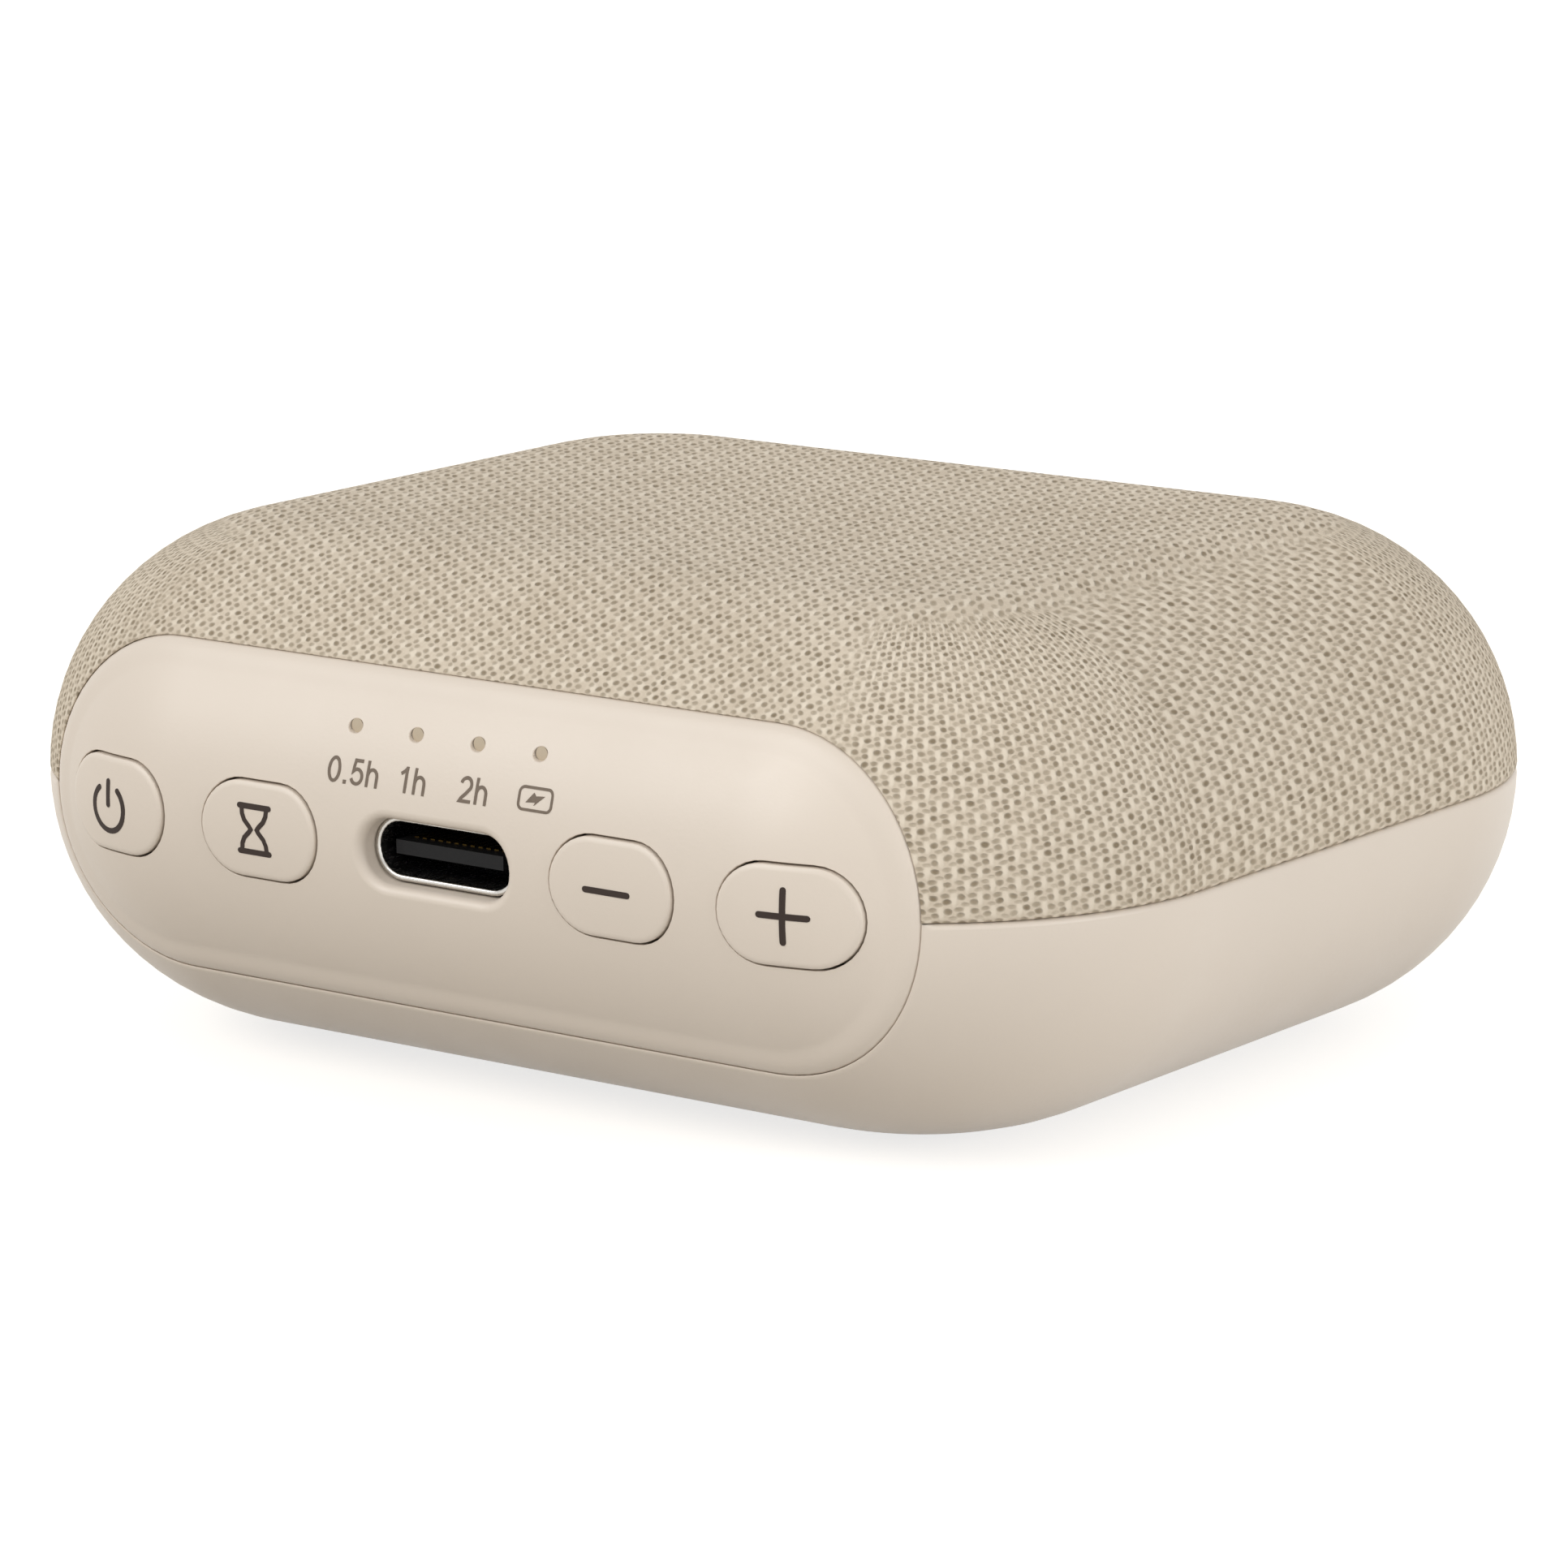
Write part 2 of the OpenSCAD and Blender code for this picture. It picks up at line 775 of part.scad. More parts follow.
module usb_contacts() {
    contacts_y = usb_back_y - usb_wall - usb_block_l - contact_l;
    color(gold)
        for (i = [0 : usb_contacts_n - 1], side = [0, 1])
            translate([
                (i - (usb_contacts_n - 1) / 2) * contact_pitch - contact_w / 2,
                contacts_y,
                mid_z + (side == 0 ? usb_tongue_t / 2 : -usb_tongue_t / 2 - contact_t)
            ])
                cube([contact_w, contact_l, contact_t]);
}

// ---------------------------------------------------------------- indicators

// Clear guide: four arms bend the light from the lamps forward into the panel's holes
module light_guide() {
    z0 = mid_z + led_z - guide_t / 2;
    lamp_top = board_top + led_size[2] + led_clear;
    color(clear_white) {
        for (i = [-1.5 : 1.5]) {
            x = i * led_pitch;
            translate([x - guide_t / 2, guide_front_y, z0])
                cube([guide_t, led_y + guide_t / 2 - guide_front_y, guide_t]);
            translate([x - guide_t / 2, led_y - guide_t / 2, lamp_top])
                cube([guide_t, guide_t, z0 - lamp_top + guide_t / 2]);
            translate([x, guide_front_y, mid_z + led_z])
                rotate([90, 0, 0])
                    cylinder(d = led_hole_d - 2 * led_gap, h = guide_front_y - guide_tip_y);
        }
        translate([-guide_leg_x - guide_t / 2, guide_bar_y, z0])
            cube([2 * guide_leg_x + guide_t, guide_t, guide_t]);
        for (side = [-1, 1])
            translate([side * guide_leg_x - guide_t / 2, guide_bar_y, board_top])
                cube([guide_t, guide_t, z0 - board_top + guide_t / 2]);
    }
}

module led(i) {
    color(clear_white)
        on_board([(i - 1.5) * led_pitch, led_y], led_size);
}

module led_half_hour() { led(0); }
module led_one_hour() { led(1); }
module led_two_hours() { led(2); }
module led_battery() { led(3); }

// ---------------------------------------------------------------- board

module main_board() {
    color(board_green)
        difference() {
            translate([0, 0, board_bottom])
                linear_extrude(board_t)
                    outline(board_inset);
            at_bosses()
                cylinder(d = screw_hole_d, h = far);
            at_usb_legs()
                cube([usb_leg[0] + 2 * usb_leg_gap, usb_leg[1] + 2 * usb_leg_gap, 3 * board_t], center = true);
        }
}

module main_chip() { color(black) on_board(main_chip_at, main_chip_size); }
module memory_chip() { color(black) on_board(memory_chip_at, memory_chip_size); }
module amplifier_chip() { color(black) on_board(amplifier_chip_at, amplifier_chip_size); }
module charger_chip() { color(black) on_board(charger_chip_at, charger_chip_size); }
module crystal() { color(steel) on_board(crystal_at, crystal_size); }
module power_inductor() { color(black) on_board(inductor_at, inductor_size); }

module bulk_capacitor() {
    color(steel)
        translate([bulk_at[0], bulk_at[1], board_top])
            cylinder(d = bulk_d, h = bulk_h);
}

module small_capacitors() {
    color([0.72, 0.60, 0.45])
        for (x = chip_row_x)
            on_board([x, back_chips_y], small_size);
}

module small_resistors() {
    color(black)
        for (x = chip_row_x)
            on_board([x, back_chips_y + chip_row_gap], small_size);
}

// ---------------------------------------------------------------- battery

module battery_cell() {
    color([0.70, 0.72, 0.76])
        translate([-battery_w / 2, -battery_l / 2, battery_bottom])
            cube([battery_w, battery_l, battery_t]);
}

module battery_pad() {
    color(black)
        translate([-battery_w / 2 + pad_margin, -battery_l / 2 + pad_margin, floor_z])
            cube([battery_w - 2 * pad_margin, battery_l - 2 * pad_margin, pad_t]);
}

module battery_connector() {
    color(clear_white)
        translate([
            battery_connector_at[0] - connector[0] / 2,
            battery_connector_at[1] - connector[1] / 2,
            board_bottom - connector[2]
        ])
            cube(connector);
}

// ---------------------------------------------------------------- leads

function along(p, i) = p[max(0, min(len(p) - 1, i))];
// A point on the smooth curve through the route's points
function on_curve(p, i, t) =
    let (a = along(p, i - 1), b = along(p, i), c = along(p, i + 1), d = along(p, i + 2))
    (2 * b + (c - a) * t + (2 * a - 5 * b + 4 * c - d) * t * t + (3 * b - a - 3 * c + d) * t * t * t) / 2;
function smooth(p, steps) = concat(
    [for (i = [0 : len(p) - 2], s = [0 : steps - 1]) on_curve(p, i, s / steps)],
    [p[len(p) - 1]]
);
function unit(v) = v / norm(v);
function heading(p, i) = unit(along(p, i + 1) - along(p, i - 1));

// A lead of round section along a route whose heading is never along side_axis
module lead(route, side_axis) {
    path = smooth(route, 3);
    n = len(path);
    points = [
        for (i = [0 : n - 1])
            let (ahead = heading(path, i), u = unit(cross(side_axis, ahead)), v = cross(ahead, u))
            for (k = [0 : lead_sides - 1])
                let (a = 360 * (k + 0.5) / lead_sides)
                path[i] + (u * cos(a) + v * sin(a)) * lead_d / 2
    ];
    sides = [
        for (i = [0 : n - 2], k = [0 : lead_sides - 1])
            let (next = (k + 1) % lead_sides)
            [
                i * lead_sides + k,
                (i + 1) * lead_sides + k,
                (i + 1) * lead_sides + next,
                i * lead_sides + next
            ]
    ];
    start = [for (k = [0 : lead_sides - 1]) k];
    end = [for (k = [lead_sides - 1 : -1 : 0]) (n - 1) * lead_sides + k];
    polyhedron(points, concat([start, end], sides));
}

module battery_lead_red() {
    color("firebrick")
        lead(battery_route, [0, 0, 1]);
}

module battery_lead_black() {
    color(black)
        translate([0, 0, -battery_lead_gap])
            lead(battery_route, [0, 0, 1]);
}

module speaker_lead_red() {
    color("firebrick")
        lead(speaker_route, [0, 1, 0]);
}

module speaker_lead_black() {
    color(black)
        translate([0, speaker_lead_gap, 0])
            lead(speaker_route, [0, 1, 0]);
}

// ---------------------------------------------------------------- speaker

module speaker_connector() {
    color(clear_white)
        on_board(speaker_connector_at, connector);
}

// Pressed steel basket with six windows, a rim above and a foot on the magnet's cup
module speaker_frame() {
    foot_top_z = yoke_top + basket_foot_t;
    inner_foot_r = yoke_d / 2 - yoke_wall + basket_foot_gap;
    color(steel) {
        ring(speaker_r - rim_w, speaker_r, rim_bottom, rim_top);
        ring(inner_foot_r, basket_foot_r, yoke_top, foot_top_z);
        difference() {
            rotate_extrude()
                polygon([
                    [basket_foot_r - basket_t, yoke_top],
                    [basket_foot_r, yoke_top],
                    [basket_top_r, rim_bottom],
                    [basket_top_r, rim_bottom + basket_t / 2],
                    [basket_top_r - basket_t, rim_bottom + basket_t / 2],
                    [basket_foot_r - basket_t, foot_top_z]
                ]);
            for (i = [0 : 5])
                rotate([0, 0, 30 + 60 * i])
                    translate([basket_foot_r, -window_w / 2, spider_z + window_edge])
                        cube([far, window_w, rim_bottom - spider_z - 2 * window_edge]);
        }
        ring(spider_r - spider_seat[0], spider_r + spider_seat[1], spider_z - spider_seat[2], spider_z);
    }
}

module speaker_gasket() {
    color(black)
        ring(speaker_r - gasket_in - gasket_w, speaker_r - gasket_in, rim_top, seat_z);
}

// Paper cone with a flat edge level with the rim
module speaker_cone() {
    color(paper_cone)
        rotate_extrude()
            polygon([
                [neck_r, neck_z - cone_t],
                [neck_r + cone_t, neck_z - cone_t],
                [cone_r - cone_fold + cone_lip, rim_top - cone_t],
                [cone_r + cone_lip, rim_top - cone_t],
                [cone_r + cone_lip, rim_top],
                [cone_r - cone_fold, rim_top],
                [neck_r, neck_z]
            ]);
}

// Rubber half roll between the cone's edge and the rim
module speaker_surround() {
    r_in = cone_r + cone_lip;
    r_out = speaker_r - rim_w;
    mid_r = (r_in + r_out) / 2;
    roll_r = (r_out - r_in) / 2 + roll_t / 2;
    color(black)
        rotate_extrude() {
            intersection() {
                translate([mid_r, rim_top])
                    difference() {
                        circle(r = roll_r);
                        circle(r = roll_r - roll_t);
                    }
                translate([0, rim_top])
                    square([far, far]);
            }
            translate([r_in - roll_foot, rim_top])
                square([roll_foot + roll_t / 2, roll_t]);
            translate([r_out - roll_t / 2, rim_top])
                square([roll_foot + roll_t / 2, roll_t]);
        }
}

// Flexible cloth disc that centres the voice coil
module speaker_spider() {
    color([0.75, 0.60, 0.35])
        ring(neck_r, spider_r, spider_z, spider_z + spider_t);
}

// Domed cap over the middle of the cone
module dust_cap() {
    slope = (rim_top - neck_z) / (cone_r - cone_fold - neck_r);
    base_z = neck_z + (cap_r - neck_r) * slope + cap_foot + glue_gap;
    centre_z = base_z - sqrt(cap_round * cap_round - cap_r * cap_r);
    color(paper_cone)
        rotate_extrude()
            intersection() {
                translate([0, centre_z])
                    difference() {
                        circle(r = cap_round);
                        circle(r = cap_round - cone_t);
                    }
                translate([0, base_z - cap_foot])
                    square([cap_r, far]);
            }
}

// Thin former with the copper winding on its lower end
module voice_coil() {
    mid_r = coil_d / 2;
    color([0.72, 0.45, 0.20]) {
        ring(mid_r - former_t / 2, mid_r + former_t / 2, coil_bottom, neck_z);
        ring(mid_r - former_t / 2, mid_r + former_t / 2 + winding_t, coil_bottom, yoke_top + winding_above);
    }
}

module speaker_magnet() {
    color(steel)
        translate([0, 0, yoke_bottom + yoke_floor])
            cylinder(r = pole_r - magnet_in, h = yoke_h - yoke_floor - pole_t);
}

module speaker_top_plate() {
    color(steel)
        translate([0, 0, yoke_top - pole_t])
            cylinder(r = pole_r, h = pole_t);
}

module speaker_yoke() {
    color(steel)
        difference() {
            translate([0, 0, yoke_bottom])
                cylinder(d = yoke_d, h = yoke_h);
            translate([0, 0, yoke_bottom + yoke_floor])
                cylinder(r = yoke_d / 2 - yoke_wall, h = yoke_h);
        }
}

module speaker_terminals() {
    color(board_green)
        translate([terminal_x, -terminal[1] / 2, rim_bottom - terminal[2]])
            cube(terminal);
}

// ---------------------------------------------------------------- fasteners and feet

module case_screws() {
    color(steel)
        at_bosses() {
            translate([0, 0, head_seat - screw_head_h])
                cylinder(d = screw_head_d, h = screw_head_h);
            translate([0, 0, head_seat - head_lap])
                cylinder(d = screw_d, h = screw_top - head_seat + head_lap);
        }
}

module foot(sx, sy) {
    color(black)
        translate([sx * boss_x, sy * boss_y, 0])
            cylinder(d = foot_d, h = foot_top);
}

module foot_front_left() { foot(-1, -1); }
module foot_front_right() { foot(1, -1); }
module foot_back_left() { foot(-1, 1); }
module foot_back_right() { foot(1, 1); }

// ---------------------------------------------------------------- nodes

bottom_shell();
top_frame();
grille_cloth();
front_panel();
power_button();
timer_button();
volume_down_button();
volume_up_button();
power_plunger();
timer_plunger();
volume_down_plunger();
volume_up_plunger();
power_switch();
timer_switch();
volume_down_switch();
volume_up_switch();
usb_shell();
usb_tongue();
usb_contacts();
light_guide();
led_half_hour();
led_one_hour();
led_two_hours();
led_battery();
main_board();
main_chip();
memory_chip();
amplifier_chip();
charger_chip();
crystal();
power_inductor();
bulk_capacitor();
small_capacitors();
small_resistors();
battery_cell();
battery_pad();
battery_connector();
battery_lead_red();
battery_lead_black();
speaker_frame();
speaker_gasket();
speaker_cone();
speaker_surround();
speaker_spider();
dust_cap();
voice_coil();
speaker_magnet();
speaker_top_plate();
speaker_yoke();
speaker_terminals();
speaker_connector();
speaker_lead_red();
speaker_lead_black();
case_screws();
foot_front_left();
foot_front_right();
foot_back_left();
foot_back_right();
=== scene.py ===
import json
import math

import bpy
from mathutils import Matrix, Vector
from mathutils.geometry import delaunay_2d_cdt


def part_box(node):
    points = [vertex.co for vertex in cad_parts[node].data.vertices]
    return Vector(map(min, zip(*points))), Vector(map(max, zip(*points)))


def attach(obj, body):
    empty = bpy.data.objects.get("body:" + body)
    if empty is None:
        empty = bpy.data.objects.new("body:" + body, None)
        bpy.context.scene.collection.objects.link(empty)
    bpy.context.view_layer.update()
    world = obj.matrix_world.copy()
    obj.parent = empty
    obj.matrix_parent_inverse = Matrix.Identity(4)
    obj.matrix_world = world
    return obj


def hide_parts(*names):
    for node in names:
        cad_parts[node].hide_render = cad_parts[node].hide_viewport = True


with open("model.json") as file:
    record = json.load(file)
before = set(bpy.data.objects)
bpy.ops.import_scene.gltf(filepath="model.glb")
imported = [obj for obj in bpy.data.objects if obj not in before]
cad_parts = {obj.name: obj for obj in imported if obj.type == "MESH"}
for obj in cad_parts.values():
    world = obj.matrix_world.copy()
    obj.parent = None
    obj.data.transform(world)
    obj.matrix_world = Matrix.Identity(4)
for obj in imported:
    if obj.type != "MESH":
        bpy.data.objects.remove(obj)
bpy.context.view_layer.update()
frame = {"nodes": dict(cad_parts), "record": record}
MM = 0.001


def box_mm(node):
    """Lowest and highest corner of a CAD node, in millimetres."""
    return [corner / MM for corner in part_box(node)]


# ---------------------------------------------------------------- sizes

# The body: a rounded rectangle seen from above, whose side is a half round
CORNER_R = 16.4
SHELL_LOW, SHELL_HIGH = box_mm("bottom_shell")
PANEL_LOW, PANEL_HIGH = box_mm("front_panel")
MID_Z = SHELL_HIGH.z
SIDE_R = MID_Z - SHELL_LOW.z
RUN = CORNER_R - SIDE_R
CORNER_X = SHELL_HIGH.x - CORNER_R
CORNER_Y = SHELL_HIGH.y - CORNER_R
QUARTER = math.pi / 2

WALL = 1.8
CLOTH_T = 0.6
SEAM_GAP = 0.02
SEAM_ROUND = 0.3
HEM_ROUND = 0.25

# The control panel
PANEL_W = PANEL_HIGH.x - PANEL_LOW.x
PANEL_H = PANEL_HIGH.z - PANEL_LOW.z
PANEL_T = 1.8
PANEL_GAP = 0.006
PANEL_SINK = 0.2
PANEL_ROUND = 0.35
PANEL_FLATNESS = 0.5
RIM_SINK = 0.03
RIM_FLATNESS = 0.35
LIP_W = 1.2
LEDGE_W = 1.2
LEDGE_T = 1.0
BUTTONS = ["power", "timer", "volume_down", "volume_up"]
BUTTON_SIZE = (7.32, 4.83)
BUTTON_GAP = 0.11
BUTTON_ROUND = 0.3
BUTTON_FLATNESS = 0.4
HOLE_ROUND = 0.05
FLANGE_GAP = 0.1
FLANGE_W = 0.5
FLANGE_T = 0.8
STEM_R = 1.1
PORT_SIZE = (9.12, 3.3)
PORT_Z = -0.08
PORT_ROUND = 0.55
LED_Z = 5.7
LED_PITCH = 3.84
LED_R = 0.34
LED_WIDEN = 1.26
LED_ROUND = 0.06
# The printed symbols stand this much over the faces around them, and reach this far down from their own face
PRINT_T = 0.02
PRINT_SUNK = 0.06


# ---------------------------------------------------------------- the body's surface

def reach(rise, inset=0.0):
    """How far the surface lies outside the corner centres at a height over the middle."""
    return RUN + math.sqrt(max((SIDE_R - inset) ** 2 - rise ** 2, 0.0))


def sine_up(rise, inset=0.0):
    """The sine of the surface's turn upwards there."""
    return max(min(rise / (SIDE_R - inset), 1.0), -1.0)


def front_point(x, rise, inset=0.0):
    """The place on the front, or on a layer inside it, that a view from the front shows at x and rise."""
    out = reach(rise, inset)
    past = max(abs(x) - CORNER_X, 0.0)
    return Vector((x, -CORNER_Y - math.sqrt(max(out ** 2 - past ** 2, 0.0)), MID_Z + rise))


def lifted(across, along, rise, inset):
    """The outward direction at a height, where the surface faces a level way."""
    lift = sine_up(rise, inset)
    level = math.sqrt(1 - lift ** 2)
    return Vector((across * level, along * level, lift))


def front_normal(x, rise, inset=0.0):
    """The surface's outward direction there."""
    side = math.copysign(max(abs(x) - CORNER_X, 0.0), x) / reach(rise, inset)
    return lifted(side, -math.sqrt(max(1 - side ** 2, 0.0)), rise, inset)


# The places round the body: u runs from the front's middle to the right, and w up from the middle height
ARC = CORNER_R * QUARTER
LAPS = [CORNER_X, ARC, 2 * CORNER_Y, ARC, 2 * CORNER_X, ARC, 2 * CORNER_Y, ARC, CORNER_X]
ROUND_LENGTH = sum(LAPS)


def around(u):
    """The point on the line through the corner centres, and the way outwards, at a place round the body."""
    u %= ROUND_LENGTH
    turns = 0
    place = Vector((0, -CORNER_Y))
    for k, lap in enumerate(LAPS):
        heading = Vector((math.sin(turns * QUARTER), -math.cos(turns * QUARTER)))
        along = Vector((-heading.y, heading.x))
        bend = k % 2 == 1
        if u <= lap or k == len(LAPS) - 1:
            if bend:
                angle = (turns + u / lap) * QUARTER
                return place, Vector((math.sin(angle), -math.cos(angle)))
            return place + along * u, heading
        u -= lap
        if bend:
            turns += 1
        else:
            place = place + along * lap
    return place, heading


def side_point(u, rise, inset=0.0):
    """The surface's place at a u and a height over the middle."""
    place, heading = around(u)
    flat = place + heading * reach(rise, inset)
    return Vector((flat.x, flat.y, MID_Z + rise))


def side_normal(u, rise, inset=0.0):
    """The surface's outward direction there."""
    return lifted(*around(u)[1], rise, inset)


def place_round(x, rise, inset=0.0):
    """The u of a place on the front."""
    past = abs(x) - CORNER_X
    if past <= 0:
        return x
    angle = math.asin(min(past / reach(rise, inset), 1.0))
    return math.copysign(CORNER_X + angle * CORNER_R, x)


def height_up(rise, inset=0.0):
    """The w of a height over the middle."""
    return SIDE_R * math.asin(sine_up(rise, inset))


# ---------------------------------------------------------------- mesh building

WELD = 1e-7


class Builder:
    """Collects the points and faces of one closed piece. A point's normal is exact where it is given."""

    def __init__(self):
        self.points = []
        self.normals = []
        self.faces = []
        self.flat = []

    def add(self, point, normal=None):
        self.points.append(Vector(point))
        self.normals.append(Vector(normal).normalized() if normal is not None else None)
        return len(self.points) - 1

    def ring(self, places, normals=None):
        if normals is None:
            normals = [None] * len(places)
        return [self.add(p, n) for p, n in zip(places, normals)]

    def face(self, corners, flat=False):
        if len(set(corners)) == len(corners):
            self.faces.append(tuple(corners))
            self.flat.append(flat)

    def bridge(self, a, b, closed=True, flat=False, turn=False):
        """A strip of quads between two rings. It faces the side that sees a run to the right below b, or
        with turn the other side."""
        if turn:
            a, b = b, a
        for k in range(len(a) if closed else len(a) - 1):
            n = (k + 1) % len(a)
            self.face((a[k], a[n], b[n], b[k]), flat)

    def fill(self, loops, flats, put=None, spacing=None, clear=0.45, turn=False, flat=False):
        """Triangles between closed loops. flats are the loops' plane coordinates, all anticlockwise, with the
        outer loop first. put adds a point at a plane place, and such points lie about a spacing apart."""
        polygons = [[Vector(p) for p in loop] for loop in flats]
        index = [i for loop in loops for i in loop]
        edges = []
        for loop in loops:
            start = len(edges)
            edges += [(start + k, start + (k + 1) % len(loop)) for k in range(len(loop))]
        coords = [p for polygon in polygons for p in polygon]
        if spacing:
            coords += lattice(polygons, spacing, spacing * clear)
        out = delaunay_2d_cdt(coords, edges, [], 0, WELD)
        new_points, new_faces, sources = out[0], out[2], out[3]
        where = []
        for k, source in enumerate(sources):
            known = [s for s in source if s < len(index)]
            where.append(index[known[0]] if known else put(new_points[k]))
        for tri in new_faces:
            if between(sum((new_points[k] for k in tri), Vector((0, 0))) / 3, polygons):
                corners = [where[k] for k in tri]
                self.face(corners[::-1] if turn else corners, flat)

    def make(self, name, smooth_angle=None):
        mesh = bpy.data.meshes.new(name)
        mesh.from_pydata([p * MM for p in self.points], [], self.faces)
        mesh.polygons.foreach_set("use_smooth", [not f for f in self.flat])
        mesh.validate()
        if smooth_angle is not None:
            mesh.set_sharp_from_angle(angle=math.radians(smooth_angle))
        else:
            auto = [Vector(n.vector) for n in mesh.corner_normals]
            chosen = []
            for polygon in mesh.polygons:
                for k in polygon.loop_indices:
                    exact = self.normals[mesh.loops[k].vertex_index]
                    keep = exact is not None and polygon.use_smooth
                    chosen.append(exact if keep else auto[k])
            mesh.normals_split_custom_set(chosen)
        return add_object(name, mesh)


def add_object(name, data):
    """A new object in the scene."""
    made = bpy.data.objects.new(name, data)
    bpy.context.scene.collection.objects.link(made)
    return made


def inside(point, polygon):
    """Whether a plane point lies inside a closed polygon."""
    crossings = False
    previous = polygon[-1]
    for corner in polygon:
        if (corner.y > point.y) != (previous.y > point.y):
            x = (previous.x - corner.x) * (point.y - corner.y) / (previous.y - corner.y) + corner.x
            if point.x < x:
                crossings = not crossings
        previous = corner
    return crossings


def between(point, polygons):
    """Whether a plane point lies inside the first closed polygon and outside the others."""
    return inside(point, polygons[0]) and not any(inside(point, hole) for hole in polygons[1:])


def distance_to(point, polygon):
    """How far a plane point lies from a closed polygon's edge."""
    best = math.inf
    previous = polygon[-1]
    for corner in polygon:
        edge = corner - previous
        t = max(0.0, min(1.0, (point - previous).dot(edge) / max(edge.length_squared, 1e-12)))
        best = min(best, (point - previous - edge * t).length)
        previous = corner
    return best


# The height of an even triangle's row, to its side
ROW_SHARE = 0.87


def lattice(polygons, spacing, margin):
    """Plane points on a staggered grid between the polygons and clear of their edges."""
    outer = polygons[0]
    low = Vector((min(p.x for p in outer), min(p.y for p in outer)))
    high = Vector((max(p.x for p in outer), max(p.y for p in outer)))
    rows = max(int((high.y - low.y) / (spacing * ROW_SHARE)), 1)
    columns = int((high.x - low.x) / spacing) + 1
    found = []
    for j in range(1, rows):
        y = low.y + (high.y - low.y) * j / rows
        for i in range(columns + 1):
            p = Vector((low.x + (i + 0.5 * (j % 2)) * spacing, y))
            if between(p, polygons) and min(distance_to(p, edge) for edge in polygons) > margin:
                found.append(p)
    return found


def pill_outline(length, height, grow=0.0, centre=(0.0, 0.0), straight=12, bend=14):
    """A pill's outline, anticlockwise from its lower left end: plane points and their outward directions."""
    r = height / 2 + grow
    half = (length - height) / 2
    points = []
    outward = []
    for side in (1, -1):
        for k in range(straight):
            points.append((centre[0] + side * half * (2 * k / straight - 1), centre[1] - side * r))
            outward.append((0.0, -float(side)))
        for k in range(bend):
            angle = -QUARTER * side + math.pi * k / bend
            points.append((centre[0] + side * half + r * math.cos(angle), centre[1] + r * math.sin(angle)))
            outward.append((math.cos(angle), math.sin(angle)))
    return points, outward


def circle_outline(radius, grow=0.0, centre=(0.0, 0.0), steps=20):
    """A circle's outline, in the same way."""
    turns = [2 * math.pi * k / steps for k in range(steps)]
    outward = [(math.cos(angle), math.sin(angle)) for angle in turns]
    return [(centre[0] + (radius + grow) * x, centre[1] + (radius + grow) * y) for x, y in outward], outward


def flatter(angle, flatness):
    """How far the normal has turned on a rounded edge whose depth is a share of its radius."""
    return math.atan2(flatness * math.sin(angle), math.cos(angle))


def fillet(radius, steps=4, flatness=1.0):
    """The steps over a rounded edge: distance from the edge, depth, and how far the normal has turned.
    flatness is the depth's share of the radius."""
    rows = []
    for k in range(steps + 1):
        angle = QUARTER * k / steps
        depth = radius * flatness * (1 - math.cos(angle))
        rows.append((radius * (1 - math.sin(angle)), depth, flatter(angle, flatness)))
    return rows


def eased(value, low, high):
    """A smooth step from 0 to 1 between two values."""
    t = max(0.0, min(1.0, (value - low) / (high - low)))
    return t * t * (3 - 2 * t)


def dress(build, name, body, node, slot, smooth_angle=None):
    """Makes a piece in its slot's material, which rides on a body and stands in for a CAD node."""
    piece = build.make(name, smooth_angle)
    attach(piece, body)
    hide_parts(node)
    give(piece, MATERIALS[slot])
    return piece


# ---------------------------------------------------------------- solids cut along Y out of the front wall

def leaning_ring(build, outline, grow, inset, normal_inset, level, lean):
    """A ring at an inset, whose normal is so much of the surface's and so much of the outline's. Also returns
    its plane points."""
    points, outward = outline(grow)
    normals = [front_normal(x, rise, normal_inset) * level + Vector((ox, 0, oz)) * lean
               for (x, rise), (ox, oz) in zip(points, outward)]
    return build.ring([front_point(x, rise, inset) for x, rise in points], normals), points


def rounded_loop(build, outline, sign, radius, depth_from, depth_to, steps=4, flatness=1.0):
    """The rounded edge and the wall of a front solid's outer edge (sign 1) or of a hole in it (sign -1).
    Returns the ring on the face, its plane points and the ring at the back."""
    levels = [(-sign * distance, depth_from + depth, turned)
              for distance, depth, turned in fillet(radius, steps, flatness)]
    rings = []
    for grow, depth, turned in levels + [(0.0, depth_to, QUARTER)]:
        level, lean = math.cos(turned), sign * math.sin(turned)
        rings.append(leaning_ring(build, outline, grow, depth, depth_from, level, lean)[0])
    for front, back in zip(rings, rings[1:]):
        build.bridge(front, back, turn=sign > 0)
    return rings[0], outline(-sign * radius)[0], rings[-1]


def front_fill(build, loops, flats, inset, back=False, spacing=1.1):
    """The face, or the back, of a front solid between its loops."""
    def put(p):
        normal = front_normal(p.x, p.y, inset)
        return build.add(front_point(p.x, p.y, inset), -normal if back else normal)

    build.fill(loops, flats, put, spacing, turn=back, flat=back)


def step_ring(build, outline, grow, inset, y=None):
    """A ring at an inset, or at one depth y, with its plane points."""
    points, _ = outline(grow)
    places = [front_point(x, rise, inset) for x, rise in points]
    if y is not None:
        for p in places:
            p.y = y
    return build.ring(places), points


def bar(build, low, high):
    """A closed block."""
    corners = [(x, y, z) for z in (low[2], high[2]) for y in (low[1], high[1]) for x in (low[0], high[0])]
    k = build.ring(corners)
    for side in ((0, 2, 3, 1), (4, 5, 7, 6), (0, 1, 5, 4), (2, 6, 7, 3), (0, 4, 6, 2), (1, 3, 7, 5)):
        build.face([k[i] for i in side], flat=True)


